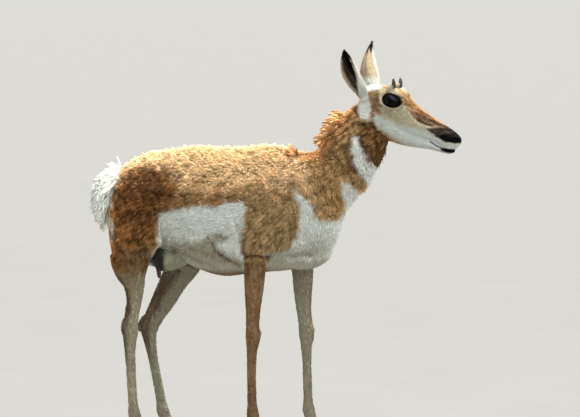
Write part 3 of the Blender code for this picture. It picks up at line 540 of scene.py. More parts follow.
FORE_LEFT = [
    (0.060, 0.078, 0.640, 0.060, 0.036),
    (0.055, 0.078, 0.600, 0.050, 0.034),
    (0.065, 0.076, 0.550, 0.040, 0.031),
    (0.0715, 0.074, 0.507, 0.0328, 0.0270),
    (0.0725, 0.072, 0.465, 0.0288, 0.0240),
    (0.0735, 0.070, 0.420, 0.0250, 0.0208),
    (0.0770, 0.069, 0.376, 0.0212, 0.0185),
    (0.0805, 0.068, 0.350, 0.0212, 0.0190),
    (0.0830, 0.068, 0.330, 0.0226, 0.0214),
    (0.0838, 0.068, 0.310, 0.0214, 0.0202),
    (0.0830, 0.068, 0.288, 0.0170, 0.0165),
    (0.0840, 0.068, 0.250, 0.0142, 0.0132),
    (0.0860, 0.068, 0.180, 0.0137, 0.0126),
    (0.0880, 0.068, 0.125, 0.0148, 0.0136),
    (0.0900, 0.068, 0.098, 0.0182, 0.0180),
    (0.0960, 0.068, 0.078, 0.0165, 0.0168),
    (0.1040, 0.068, 0.058, 0.0150, 0.0165),
    (0.1100, 0.068, 0.038, 0.0190, 0.0205),
    (0.1140, 0.068, 0.010, 0.0220, 0.0215),
]

HIND_RIGHT = [
    (-0.400, -0.066, 0.740, 0.080, 0.044),
    (-0.392, -0.078, 0.680, 0.094, 0.048),
    (-0.398, -0.084, 0.620, 0.079, 0.046),
    (-0.4150, -0.086, 0.570, 0.0640, 0.042),
    (-0.4180, -0.086, 0.537, 0.058, 0.038),
    (-0.4150, -0.084, 0.504, 0.0455, 0.034),
    (-0.4085, -0.082, 0.476, 0.0330, 0.029),
    (-0.4070, -0.079, 0.427, 0.0228, 0.0215),
    (-0.4096, -0.077, 0.394, 0.0180, 0.0180),
    (-0.4160, -0.076, 0.366, 0.0205, 0.0185),
    (-0.4180, -0.075, 0.340, 0.0228, 0.0205),
    (-0.4195, -0.075, 0.318, 0.0205, 0.0200),
    (-0.4200, -0.075, 0.290, 0.0168, 0.0165),
    (-0.4180, -0.075, 0.250, 0.0148, 0.0136),
    (-0.4145, -0.075, 0.180, 0.0140, 0.0128),
    (-0.4105, -0.075, 0.125, 0.0150, 0.0138),
    (-0.4070, -0.075, 0.098, 0.0186, 0.0182),
    (-0.4000, -0.075, 0.078, 0.0168, 0.0170),
    (-0.3920, -0.075, 0.058, 0.0152, 0.0166),
    (-0.3850, -0.075, 0.038, 0.0190, 0.0205),
    (-0.3810, -0.075, 0.010, 0.0220, 0.0215),
]

HIND_LEFT = [
    (-0.390, 0.066, 0.740, 0.080, 0.044),
    (-0.368, 0.078, 0.680, 0.096, 0.048),
    (-0.335, 0.084, 0.620, 0.090, 0.046),
    (-0.293, 0.086, 0.570, 0.068, 0.042),
    (-0.268, 0.086, 0.530, 0.054, 0.038),
    (-0.282, 0.084, 0.500, 0.046, 0.034),
    (-0.2970, 0.082, 0.474, 0.0405, 0.030),
    (-0.3270, 0.079, 0.418, 0.0350, 0.024),
    (-0.3500, 0.077, 0.378, 0.0290, 0.0205),
    (-0.3640, 0.076, 0.350, 0.0265, 0.0200),
    (-0.3690, 0.075, 0.326, 0.0240, 0.0205),
    (-0.3660, 0.075, 0.296, 0.0182, 0.0175),
    (-0.3590, 0.075, 0.255, 0.0150, 0.0138),
    (-0.3450, 0.075, 0.180, 0.0140, 0.0128),
    (-0.3350, 0.075, 0.125, 0.0150, 0.0138),
    (-0.3300, 0.075, 0.098, 0.0186, 0.0182),
    (-0.3220, 0.075, 0.078, 0.0168, 0.0170),
    (-0.3130, 0.075, 0.058, 0.0152, 0.0166),
    (-0.3060, 0.075, 0.038, 0.0190, 0.0205),
    (-0.3020, 0.075, 0.010, 0.0220, 0.0215),
]

LEGS = {
    "fore_right": FORE_RIGHT,
    "fore_left": FORE_LEFT,
    "hind_right": HIND_RIGHT,
    "hind_left": HIND_LEFT,
}


# %% The masses of trunk, legs and head
def trunk_shapes():
    """Barrel, neck, haunches, shoulders, brisket and belly."""
    made = [upright_loft(TRUNK, 60, 40), limb_loft(NECK, 30, 28)]
    # haunches, thighs and hamstrings, the left thigh swung forward
    made.append(mass((-0.412, -0.068, 0.700), (0.078, 0.046, 0.100), pitch=-12))
    made.append(mass((-0.402, 0.068, 0.705), (0.080, 0.046, 0.100), pitch=6))
    made.append(mass((-0.372, -0.080, 0.655), (0.058, 0.042, 0.088), pitch=-8))
    made.append(mass((-0.320, 0.082, 0.630), (0.062, 0.042, 0.100), pitch=22))
    made.append(mass((-0.442, -0.062, 0.610), (0.045, 0.042, 0.105), pitch=-6))
    made.append(mass((-0.428, 0.062, 0.642), (0.050, 0.042, 0.088), pitch=2))
    made.append(mass((-0.378, 0.070, 0.588), (0.052, 0.036, 0.082), pitch=-32))
    for side in (-1, 1):
        swing = 0.0 if side < 0 else 0.030
        # shoulder blade, upper arm, elbow, the point of the shoulder and of the hip
        made.append(mass((0.048, side * 0.058, 0.730), (0.050, 0.036, 0.112), pitch=24))
        made.append(mass((0.010 + swing, side * 0.074, 0.640), (0.088, 0.038, 0.070), pitch=-18))
        made.append(mass((-0.035 + 2.2 * swing, side * 0.080, 0.600), (0.055, 0.036, 0.060)))
        made.append(mass((0.110, side * 0.060, 0.645), (0.055, 0.038, 0.060), pitch=10))
        made.append(mass((-0.345, side * 0.056, 0.790), (0.060, 0.038, 0.040), pitch=-8))
    # brisket between the forelegs
    made.append(mass((0.075, 0.0, 0.560), (0.085, 0.058, 0.052), pitch=-6))
    return made


def leg_shapes():
    return [limb_loft(rows, 84, 20) for rows in LEGS.values()]


def joint_shapes():
    """The hocks' points and tendons, and the front of the knees."""
    made = []
    for x, side, lean in ((-0.4345, -1, 4), (-0.3885, 1, 26)):
        made.append(mass((x, side * 0.075, 0.352), (0.0115, 0.0115, 0.028), pitch=lean))
        forward = math.tan(math.radians(lean)) * 0.034
        made.append(mass((x + 0.005 + forward, side * 0.076, 0.386), (0.0085, 0.0085, 0.045), pitch=lean))
    for rows in (FORE_RIGHT, FORE_LEFT):
        x, y, z = rows[8][:3]
        made.append(mass((x + 0.006, y, z), (0.018, 0.019, 0.024)))
    return made


def lid_points(side, grow=0.0, lift=0.0, count=24):
    """The edge of the lids: an oval that lies on the eyeball."""
    made = []
    for step in range(count + 1):
        turn = 2 * math.pi * step / count
        u = (LID_WIDTH + grow) * math.cos(turn)
        v = (LID_HEIGHT + grow) * math.sin(turn) + 0.10 * u
        out = math.sqrt(max(EYE_RADIUS**2 - u * u - v * v, 0.0001)) + lift
        made.append(Vector((EYE_PLACE.x + u, side * (EYE_PLACE.y + out), EYE_PLACE.z + v)))
    return made


def head_shapes():
    made = [upright_loft(SKULL, 60, 32), upright_loft(JAW, 46, 24)]
    for side in (-1, 1):
        eye = Vector((EYE_PLACE.x, side * EYE_PLACE.y, EYE_PLACE.z))
        # socket, lids, brow, cheek muscle, cheek bone, muzzle, nostril side, temple
        made.append(mass(eye - Vector((0.002, side * 0.008, 0)), (0.034, 0.026, 0.0285)))
        made.append(tube(lid_points(side), [0.0042] * 25))
        made.append(tube(lid_points(side, 0.004, -0.003), [0.006] * 25))
        made.append(mass((-0.006, side * 0.040, 0.0235), (0.028, 0.012, 0.0095), roll=-side * 28))
        made.append(mass((-0.004, side * 0.030, -0.062), (0.040, 0.014, 0.042), pitch=-12))
        made.append(mass((0.045, side * 0.028, -0.030), (0.060, 0.014, 0.014), pitch=12, yaw=-side * 6))
        made.append(mass((0.178, side * 0.0165, -0.034), (0.034, 0.0125, 0.019), pitch=6))
        made.append(mass((0.198, side * 0.014, -0.020), (0.020, 0.0125, 0.015), pitch=6))
    made.append(mass((0.205, 0.0, -0.016), (0.0185, 0.0185, 0.0125), pitch=22))
    made.append(mass((0.197, 0.0, -0.0600), (0.019, 0.0165, 0.0100), pitch=-14))
    return made

def in_head(points):
    """The points' u, s and v in the head's frame."""
    return (points - np.array(HEAD_EYES)) @ np.array(HEAD.to_3x3())


def trunk_softness(points):
    """The trunk and neck are smoothed far more than the lower legs."""
    return np.clip((points[:, 2] - 0.50) / 0.10, 0.03, 1)


def seam_softness(points):
    """The throat and the root of the head are smoothed a little, the face hardly at all."""
    u = in_head(points)[:, 0]
    near_seam = np.clip(1 - np.abs(u + 0.10) / 0.08, 0, 1)
    return np.where(points[:, 2] > 0.85, np.maximum(near_seam, 0.06), 0.06)

# %% [markdown]
# ## The skin
#
# One closed skin stands for all the flesh, so that no seam shows. It lies under the surface of
# the solids by the depth of the coat, which is deep on the trunk and almost nothing on the face.
# The voxel remesh gives even squares; Decimate then thins the plain places and leaves the face.
# The nostrils, the line of the mouth and the folds of the flank are pressed in last, by moving
# points along their normals, which keeps the surface closed.

# %% The fused skin
TRUNK_VOXEL = 0.0055
SKIN_VOXEL = 0.0024
SKIN_TRIANGLES = 156000


def decimated(obj, triangles, weight):
    """Fewer triangles, with more of them kept where weight(points) is low."""
    change = obj.modifiers.new("fewer", "DECIMATE")
    change.ratio = triangles / (2 * len(obj.data.polygons))
    change.vertex_group = weighted(obj, "coarse", weight)
    change.vertex_group_factor = 0.02
    return baked(obj)


def fused_skin():
    made = as_object("trunk", gathered(trunk_shapes() + leg_shapes()))
    remeshed(made, TRUNK_VOXEL)
    softened(made, 120, trunk_softness)
    fine = bmesh.new()
    fine.from_mesh(made.data)
    removed(made)
    lower = leg_shapes()
    for shape in lower:
        bmesh.ops.delete(shape, geom=[v for v in shape.verts if v.co.z > 0.50], context="VERTS")
        bmesh.ops.holes_fill(shape, edges=shape.edges, sides=0)
    made = as_object("skin", gathered([fine, gathered(head_shapes(), HEAD)] + lower + joint_shapes()))
    remeshed(made, SKIN_VOXEL)
    softened(made, 44, seam_softness)
    softened(made, 2)
    return made


def eased(value, low, high):
    """0 below low, 1 above high, smooth between."""
    share = np.clip((value - low) / (high - low), 0, 1)
    return share * share * (3 - 2 * share)


def by_head(points):
    """1 where points are too high or too far forward to lie on the chest or the throat."""
    return np.maximum(eased(points[:, 2], 0.846, 0.874), eased(points[:, 0], 0.33, 0.35))


def on_face(points):
    """1 on the head, 0 on the trunk and legs."""
    return eased(in_head(points)[:, 0], -0.10, -0.07) * by_head(points)


skin = fused_skin()
decimated(skin, SKIN_TRIANGLES, lambda points: np.where(on_face(points) > 0.5, 0.1, 0.35 + 0.65 * (points[:, 2] < 0.50)))
print("skin:", len(skin.data.polygons), "faces")


# %% Measuring along the skin
def points_of(mesh):
    found = np.empty(len(mesh.vertices) * 3, np.float32)
    mesh.vertices.foreach_get("co", found)
    return found.reshape(-1, 3).astype(float)


def normals_of(mesh):
    found = np.empty(len(mesh.vertices) * 3, np.float32)
    mesh.vertex_normals.foreach_get("vector", found)
    return found.reshape(-1, 3).astype(float)


def moved_to(mesh, points):
    mesh.vertices.foreach_set("co", points.astype(np.float32).ravel())
    mesh.update()


def ripple(points, size, seed):
    """A smooth random field between about -1 and 1, whose waves are about size long."""
    draw = np.random.default_rng(seed)
    total = np.zeros(len(points))
    for _ in range(7):
        way = draw.normal(size=3)
        way *= draw.uniform(0.7, 1.6) / np.linalg.norm(way)
        total += np.sin(points @ way * (2 * math.pi / size) + draw.uniform(0, 6.3))
    return total / 3.2


def clumps(points):
    """A patchy field between 0 and 1: the felted clumps of an old coat, one to two centimetres wide."""
    return eased(ripple(points, 0.021, 7) + 0.8 * ripple(points, 0.010, 8), -0.9, 0.9)


def gaps(points):
    """1 in the cracks between clumps of wool, which the coat's colour darkens as painted shade, 0 on the clumps."""
    crack = 1 - eased(np.abs(ripple(points * (0.75, 1, 1), 0.024, 61)), 0.02, 0.26)
    return crack * eased(ripple(points, 0.055, 62), -0.5, 0.5)


def to_line(flat, line):
    """Distance from points in a plane to a broken line."""
    best = np.full(len(flat), 9.0)
    for a, b in zip(line, line[1:]):
        a = np.array(a, float)
        way = np.array(b, float) - a
        share = np.clip(((flat - a) @ way) / (way @ way), 0, 1)
        best = np.minimum(best, np.linalg.norm(flat - a - share[:, None] * way, axis=1))
    return best


def inside(flat, outline, soft):
    """1 inside an outline given in millimetres, 0 outside, with an edge as wide as soft."""
    ring = [(x / 1000, z / 1000) for x, z in outline]
    ring.append(ring[0])
    within = np.zeros(len(flat), bool)
    for (x0, z0), (x1, z1) in zip(ring, ring[1:]):
        crosses = (z0 > flat[:, 1]) != (z1 > flat[:, 1])
        rise = z1 - z0 if z1 != z0 else 1e-9
        within ^= crosses & (flat[:, 0] < (x1 - x0) * (flat[:, 1] - z0) / rise + x0)
    far = to_line(flat, ring)
    return eased(np.where(within, far, -far), -soft / 2, soft / 2)


def side_view(points):
    """Where points show from the side: along the body, and up as the camera sees it."""
    return np.column_stack([points[:, 0], points[:, 2] - math.tan(VIEW_DOWN) * np.abs(points[:, 1])])


# %% Depth of the coat
def coat_depth(points):
    """How far the skin lies inside the solids."""
    trunk = 0.0045 * eased(points[:, 2], 0.50, 0.60)
    legs = 0.0016
    head = 0.0012
    rump = eased(-points[:, 0], 0.455, 0.480) * eased(points[:, 2], 0.56, 0.60)
    body = legs + (trunk - legs * 0.3) * (1 - 0.7 * rump)
    return np.where(points[:, 2] > 0.50, body * (1 - on_face(points)) + head * on_face(points), legs)


def relaxed_normals(mesh, rounds=6):
    """Normals averaged over their neighbours, so that points moved along them don't cross."""
    edges = np.empty(len(mesh.edges) * 2, np.int32)
    mesh.edges.foreach_get("vertices", edges)
    ends = edges.reshape(-1, 2)
    normals = normals_of(mesh)
    for _ in range(rounds):
        total = normals.copy()
        for axis in range(3):
            total[:, axis] += np.bincount(ends[:, 0], normals[ends[:, 1], axis], len(normals))
            total[:, axis] += np.bincount(ends[:, 1], normals[ends[:, 0], axis], len(normals))
        normals = total / np.maximum(np.linalg.norm(total, axis=1), 1e-9)[:, None]
    return normals


skin_points = points_of(skin.data)
ways = relaxed_normals(skin.data)
moved_to(skin.data, skin_points - ways * coat_depth(skin_points)[:, None])
print("coat depth:", round(coat_depth(skin_points).max() * 1000, 1), "mm at most")

# %% [markdown]
# ## Nostrils, mouth and folds
#
# The face needs smaller faces where its features are: the muzzle is subdivided once before the
# mouth and nostrils are pressed in. The folds at the elbow and flank are soft, and long.

# %% Pressed features
MOUTH = (
    (0.137, -0.0570),
    (0.152, -0.0590),
    (0.168, -0.0600),
    (0.185, -0.0580),
    (0.203, -0.0530),
    (0.219, -0.0460),
    (0.240, -0.0370),
)
NOSTRIL = np.array((0.2105, 0.0150, -0.0205))
FOLDS = (  # in millimetres along and up the side, with depth and half width
    (((-195, 604), (-180, 589), (-170, 566), (-141, 543), (-104, 523)), 0.0046, 0.0085),
    (((-166, 606), (-140, 600)), 0.0050, 0.0140),
    (((-112, 640), (-100, 600), (-96, 560)), 0.0030, 0.012),
    (((-330, 640), (-322, 600), (-318, 570)), 0.0050, 0.016),
    (((62, 700), (58, 650), (40, 600)), 0.0034, 0.016),
    (((-299, 577), (-264, 560), (-221, 538), (-179, 522)), 0.0022, 0.010),
    (((-262, 583), (-221, 572), (-185, 556), (-150, 531)), 0.0020, 0.010),
    (((-90, 548), (-62, 552), (-20, 547)), 0.0040, 0.008),
    (((40, 548), (80, 556), (104, 546)), 0.0030, 0.010),
)
# the brown lines along the folds are painted shade in their creases
STRONG_FOLD_SHADES = 1  # how many of them, from the first, show a brown line


def muzzle_refined(obj):
    shape = bmesh.new()
    shape.from_mesh(obj.data)
    spots = np.array([f.calc_center_median() for f in shape.faces])
    local = in_head(spots)
    muzzle = (local[:, 0] > 0.128) & (by_head(spots) > 0.5)
    eyes = np.hypot(local[:, 0] - EYE_PLACE.x, local[:, 2] - EYE_PLACE.z) < 0.036
    lids = eyes & (spots[:, 2] > 0.9) & (np.abs(local[:, 1]) > 0.03)
    edges = {e for f, pick in zip(shape.faces, muzzle | lids) if pick for e in f.edges}
    bmesh.ops.subdivide_edges(shape, edges=list(edges), cuts=1, smooth=0.0)
    bmesh.ops.triangulate(shape, faces=[f for f in shape.faces if len(f.verts) > 4])
    shape.to_mesh(obj.data)
    shape.free()


def pressed(points):
    """How deep each point of the skin is pressed in."""
    local = in_head(points)
    face = on_face(points) > 0.5
    line = to_line(local[:, [0, 2]], MOUTH)
    depth = 0.0019 * (1 - eased(line, 0.0004, 0.0032)) * (face & (local[:, 0] > 0.134))
    # lips bulge a little beside the line
    depth -= 0.0009 * np.exp(-(((line - 0.0050) / 0.0024) ** 2)) * (face & (local[:, 0] > 0.150))
    for side in (-1, 1):
        off = local - NOSTRIL * (1, side, 1)
        # a comma: long forward, turned down behind
        along = off[:, 0] * 0.80 - off[:, 2] * 0.60
        up = off[:, 0] * 0.60 + off[:, 2] * 0.80
        bow = up - 0.004 + 45 * along**2
        far = np.sqrt((along / 0.0085) ** 2 + (bow / 0.0036) ** 2)
        near = face & (off[:, 1] * side > -0.010)
        depth += 0.0052 * (1 - eased(far, 0.35, 1.25)) * near
        depth -= 0.0011 * np.exp(-(((far - 1.7) / 0.45) ** 2)) * near
    flat = side_view(points)
    for fold, deep, wide in FOLDS:
        apart = to_line(flat, [(x / 1000, z / 1000) for x, z in fold])
        below = 1 - eased(points[:, 0], 0.20, 0.24)
        depth += 1.5 * deep * np.exp(-((apart / wide) ** 2)) * below * (np.abs(points[:, 1]) > 0.05)
    return depth


muzzle_refined(skin)
skin_points = points_of(skin.data)
moved_to(skin.data, skin_points - normals_of(skin.data) * pressed(skin_points)[:, None])
print("skin after pressing:", len(skin.data.polygons), "faces")

# %% [markdown]
# ## Markings
#
# A pronghorn is tan above and white below, with two white bands across the throat, a white rump
# and a dark muzzle. Each patch is an outline in millimetres, seen from the side, and both sides
# of the animal share it. The colour is worked out for every point of the skin and stored as an
# attribute, which the tufts inherit at their roots, so skin and coat can't disagree.

# %% Outlines of the patches
FLANK_WHITE = (
    (-344, 531), (-341, 586), (-339, 637), (-336, 657), (-327, 674), (-304, 683), (-253, 687),
    (-207, 693), (-164, 691), (-139, 703), (-90, 701), (-89, 664), (-93, 623), (-99, 589), (-96,
    560), (-93, 531), (-93, 423), (-336, 423),
)
CHEST_WHITE = (
    (46, 743), (56, 720), (64, 669), (61, 634), (53, 600), (33, 571), (-1, 554), (-19, 537), (-21,
    514), (-21, 423), (270, 423), (281, 714), (232, 740), (219, 749), (201, 762), (184, 762), (184,
    727), (193, 701), (188, 679), (171, 657), (144, 651), (114, 657), (105, 675), (92, 710), (61,
    731),
)
THROAT_WHITE = (
    (213, 887), (234, 885), (247, 850), (268, 813), (283, 807), (310, 800), (287, 743), (252, 765),
    (240, 780), (221, 810), (214, 853),
)
RUMP_WHITE = (
    (-401, 834), (-436, 797), (-451, 762), (-469, 729), (-475, 695), (-484, 665), (-486, 636),
    (-484, 601), (-473, 531), (-456, 451), (-593, 451), (-593, 880),
)
CHEEK_WHITE = (
    (-33, -53), (1, -55), (37, -56), (79, -46), (111, -38), (142, -34), (168, -34), (199, -37),
    (224, -25), (240, -23), (254, -51), (197, -90), (154, -98), (107, -101), (73, -100), (43, -98),
    (16, -92), (-6, -82), (-23, -68),
)
UNDER_EAR = (
    (-105, -27), (-72, -14), (-52, -38), (-37, -56), (-33, -78), (-50, -90), (-74, -69),
)
TEMPLE_BROWN = (
    (-74, -11), (-50, 8), (-35, -16), (-24, -36), (-11, -49), (-26, -56), (-26, -73), (-46, -41),
    (-62, -21),
)
CROWN_WHITE = (
    (-127, 0), (-99, 15), (-70, 50), (-52, 50), (-45, 7), (-70, -15), (-104, -33),
)
BROW_CREAM = (
    (-48, 10), (-45, 24), (-29, 44), (-3, 44), (12, 28), (-3, 25), (-24, 16), (-36, 0),
)
BRIDGE_BROWN = (
    (4, 23), (2, 48), (41, 46), (80, 40), (115, 34), (149, 30), (186, 26), (222, 16), (231, -12),
    (214, -5), (178, -5), (159, -4), (142, -12), (121, -23), (90, -25), (64, -16), (41, -3), (19, 8),
)
MUZZLE_DARK = (
    (117, -28), (143, -14), (158, -4), (176, 1), (216, 6), (229, -18), (208, -30), (188, -36),
    (165, -37), (140, -33),
)
NOSE_BLACK = (
    (161, -30), (174, -19), (189, -9), (202, 4), (223, 8), (240, -15), (206, -30), (189, -35),
    (173, -36),
)
LIP_BLACK = (
    (180, -61), (197, -54), (216, -46), (230, -46), (222, -56), (201, -64), (185, -65),
)
HAUNCH = (
    (-381, 806), (-300, 800), (-276, 737), (-305, 691), (-336, 669), (-344, 594), (-387, 576),
    (-433, 571), (-462, 600), (-482, 640), (-478, 709), (-463, 749), (-427, 793),
)
HAUNCH_DARK = (
    (-372, 790), (-318, 780), (-296, 735), (-318, 690), (-345, 650), (-392, 640), (-430, 668),
    (-452, 712), (-428, 758),
)
BELLY_CREAM = (
    (-299, 583), (-250, 580), (-193, 596), (-170, 571), (-136, 543), (-101, 526), (-90, 480),
    (-93, 423), (-300, 423),
)
# painted shade in the hollow of the flank, before the thigh
PAINTED_HOLLOW_SHADE = ((-186, 612), (-160, 618), (-138, 610), (-136, 598), (-158, 588), (-178, 594))
# On the left side the legs stand further forward, and the brown above them follows
LEFT_ARM = (
    (-96, 590), (-70, 690), (0, 690), (52, 650), (92, 600), (108, 550), (108, 480), (26, 480),
    (22, 540), (0, 568), (-50, 578),
)
LEFT_THIGH = (
    (-318, 720), (-296, 665), (-270, 622), (-238, 588), (-208, 556), (-196, 515), (-196, 440),
    (-480, 440), (-478, 690), (-420, 740),
)
LEFT_BREAST = ((-130, 575), (4, 575), (20, 480), (-130, 480))
# Where the head's markings end below: its u, and v there
JAW_LINE = (
    (-0.105, -0.074, -0.050, -0.033, -0.023, -0.006, 0.016, 0.043, 0.060),
    (-0.060, -0.078, -0.094, -0.086, -0.075, -0.088, -0.097, -0.106, -0.130),
)
# Lines: the cream edge below the bridge, the dark line behind the eye, the tear line before it
RIDGE_LINE = ((37, -1), (65, -15), (91, -25), (118, -23), (130, -19))
REAR_LINE = ((-48, 6), (-40, -9), (-31, -23), (-19, -33))
TEAR_LINE = ((7, 19), (26, 19), (47, 11))
BELLY_LINE = ((-290, 566), (-279, 530), (-239, 514), (-193, 497), (-141, 491), (-104, 500))
# painted shadow in the fold at the elbow
ELBOW_SHADE_LINE = ((-92, 548), (-70, 553), (-40, 549), (-18, 553))

# %% Colours
COLOURS = {
    # the saddle colour is the back's tan, lightened by painted sunlight
    "painted_sun_saddle": (248, 216, 166),
    "side": (180, 140, 92),
    "haunch": (158, 108, 58),
    "shoulder": (192, 162, 114),
    "neck": (198, 162, 108),
    "nape": (212, 158, 102),
    "white": (238, 240, 232),
    "under": (208, 206, 188),
    "belly": (184, 178, 146),
    "throat": (120, 84, 50),
    "crest": (190, 122, 66),
    "face": (190, 180, 150),
    "forehead": (204, 160, 108),
    "cheek": (206, 210, 202),
    "cream": (234, 220, 190),
    "brown": (142, 100, 60),
    "muzzle": (50, 34, 24),
    "black": (5, 4, 4),
    "leg": (136, 106, 70),
    "leg_pale": (158, 152, 128),
    "hock": (86, 58, 34),
    "grey": (140, 124, 104),
}
COLOURS = {name: linear(value) for name, value in COLOURS.items()}


def laid(base, name, mask):
    """A colour laid over another where mask is 1."""
    return base + (COLOURS[name] - base) * mask[:, None]


def along_line(flat, line, half):
    """1 on a line given in millimetres, 0 from half its distance on."""
    return 1 - eased(to_line(flat, [(x / 1000, z / 1000) for x, z in line]), 0.3 * half, half)


# %% Markings of the trunk and neck
def by_elbow(points):
    """One at the top of each foreleg, none elsewhere along the trunk."""
    elbow = np.where(points[:, 1] < 0, -0.063, 0.068)
    return 1 - eased(np.abs(points[:, 0] - elbow), 0.026, 0.036)


def trunk_colours(points, normals):
    flat = side_view(points)
    flat[:, 0] += 0.0030 * ripple(points, 0.030, 1) + 0.0018 * ripple(points, 0.010, 17)
    flat[:, 1] += 0.0030 * ripple(points, 0.026, 2) + 0.0018 * ripple(points, 0.009, 18)
    x, z = flat[:, 0], flat[:, 1]
    patchy = 0.018 * ripple(points, 0.045, 19)
    fine = eased(ripple(points, 0.017, 71) + 0.6 * ripple(points, 0.008, 72), -0.8, 0.8)
    colour = np.tile(COLOURS["side"], (len(points), 1))
    # painted sunlight: the top of the back is laid paler, where the sun fell
    colour = laid(colour, "painted_sun_saddle", eased(z + patchy, 0.705, 0.785))
    haunch = inside(flat, HAUNCH, 0.040)
    colour = laid(colour, "haunch", haunch * (0.72 + 0.28 * fine))
    colour = laid(colour, "hock", 0.75 * inside(flat, HAUNCH_DARK, 0.050) * (0.35 + 0.65 * (1 - fine)))
    low = eased(-x, 0.33, 0.37) * (1 - eased(z, 0.565, 0.590)) * (1 - haunch)
    colour = laid(colour, "leg", low)
    rear = eased(-normals[:, 0], 0.25, 0.65) * eased(-x, 0.40, 0.44) * (1 - eased(z, 0.60, 0.66))
    colour = laid(colour, "brown", 0.75 * rear * (0.4 + 0.6 * fine))
    edge = eased(-x, 0.452, 0.470) * (1 - eased(z, 0.640, 0.665)) * eased(z, 0.585, 0.60)
    colour = laid(colour, "under", 0.55 * edge)
    colour = laid(colour, "shoulder", eased(x, -0.13, -0.05) * (1 - eased(z + patchy, 0.70, 0.77)))
    neck = eased(x + 0.5 * (z - 0.75), 0.085, 0.13)
    strands = ripple(np.column_stack([0.9 * x - 0.45 * z, points[:, 1], 0.13 * x + 0.27 * z]), 0.014, 73)
    strands = eased(strands, -0.7, 0.7)
    colour = laid(colour, "neck", neck)
    # dark strands on the upper neck: darker locks, deepened as painted shadow of the mane
    colour = laid(colour, "hock", 0.68 * neck * (1 - strands) * eased(z, 0.74, 0.86))
    top_line = np.interp(x, (0.10, 0.137, 0.173, 0.222, 0.27), (0.855, 0.868, 0.925, 0.988, 1.03))
    colour = laid(colour, "nape", neck * eased(z + patchy, top_line - 0.060, top_line - 0.010))
    gullet = eased(x - 0.35 * (z - 0.9), 0.222, 0.245) * (z > 0.79)
    colour = laid(colour, "throat", 0.9 * gullet)
    colour = laid(colour, "hock", 0.7 * gullet * (1 - strands) * eased(z, 0.82, 0.86))
    crest = eased(0.022 - np.hypot(x - 0.042, (z - 0.838) * 1.6), 0, 0.012)
    colour = laid(colour, "crest", 0.75 * crest)
    # a dark spot beside the withers' crest: painted shadow under the brush of hair
    colour = laid(colour, "hock", 0.8 * eased(0.010 - np.hypot(x - 0.060, z - 0.832), 0, 0.006))
    colour = laid(colour, "white", inside(flat, FLANK_WHITE, 0.014))
    colour = laid(colour, "white", inside(flat, CHEST_WHITE, 0.014) * (x < 0.30))
    colour = laid(colour, "white", inside(flat, THROAT_WHITE, 0.012))
    colour = laid(colour, "white", inside(flat, RUMP_WHITE, 0.014))
    colour = laid(colour, "belly", inside(flat, BELLY_CREAM, 0.026) * (0.75 + 0.25 * fine))
    # painted shade in the flank's hollow
    colour = laid(colour, "belly", 0.8 * inside(flat, PAINTED_HOLLOW_SHADE, 0.016))
    # downward-facing skin of the belly is laid greyer: painted shade under the barrel
    belly = eased(-normals[:, 2], 0.25, 0.6) * (z > 0.46) * (x < 0.18)
    belly = belly * (1 - by_elbow(points) * (normals[:, 1] * np.sign(points[:, 1]) > -0.3))
    colour = laid(colour, "under", belly * eased(-z, -0.62, -0.56))
    left = eased(points[:, 1], 0.020, 0.040) * eased(normals[:, 1], -0.35, 0.0)
    colour = laid(colour, "under", left * inside(flat, LEFT_BREAST, 0.014))
    colour = laid(colour, "shoulder", left * inside(flat, LEFT_ARM, 0.016))
    thigh = left * inside(flat, LEFT_THIGH, 0.018)
    colour = laid(colour, "haunch", thigh)
    colour = laid(colour, "leg", 0.75 * thigh * (1 - eased(z, 0.52, 0.62)))
    ham = eased(-normals[:, 0], 0.15, 0.55) * (x < -0.36) * (1 - eased(z + patchy, 0.580, 0.625))
    colour = laid(colour, "haunch", 0.9 * ham * (0.75 + 0.25 * fine))
    still = side_view(points)
    # a line of painted shade along each fold's crease, strong for the first, faint for the others
    for number, (fold, _, wide) in enumerate(FOLDS):
        strength = 0.75 if number < STRONG_FOLD_SHADES else 0.26
        colour = laid(colour, "brown", strength * along_line(still, fold, 0.7 * wide))
    # painted shadow along the elbow's fold
    colour = laid(colour, "hock", 0.75 * along_line(still, ELBOW_SHADE_LINE, 0.007) * (normals[:, 1] < 0.2))
    return laid(colour, "brown", 0.80 * along_line(still, BELLY_LINE, 0.008))


# %% Markings of the legs
def leg_colours(points, normals):
    x, y, z = points.T
    outward = normals[:, 1] * np.sign(y)
    colour = np.tile(COLOURS["leg"], (len(points), 1))
    colour = laid(colour, "leg_pale", 1 - eased(outward, -0.30, 0.25))
    hind = x < -0.2
    front = eased(normals[:, 0], 0.10, 0.70)
    colour = laid(colour, "leg_pale", (0.52 + 0.46 * front) * hind * (1 - eased(z, 0.47, 0.54)))
    colour = laid(colour, "leg_pale", 0.45 * hind * (1 - eased(z, 0.36, 0.44)))
    colour = laid(colour, "face", 0.42 * hind * (y < 0) * (1 - eased(z, 0.36, 0.50)))
    turned = -normals[:, 0] + 0.48 * (y > 0)
    behind = eased(turned, 0.35, 0.70) * eased(z, 0.20, 0.30)
    colour = laid(colour, "hock", 0.85 * behind * hind * (1 - eased(z, 0.47, 0.56)))
    colour = laid(colour, "brown", 0.60 * ~hind * eased(outward, -0.2, 0.5) * eased(z, 0.20, 0.34))
    colour = laid(colour, "brown", 0.70 * front * ~hind * eased(outward, -0.9, -0.2))
    streak = 0.5 + 0.5 * ripple(points * (1, 1, 0.25), 0.012, 4)
    colour = laid(colour, "face", 0.22 * streak.clip(0, 1))
    return laid(colour, "hock", 0.5 * (1 - eased(z, 0.030, 0.050)))


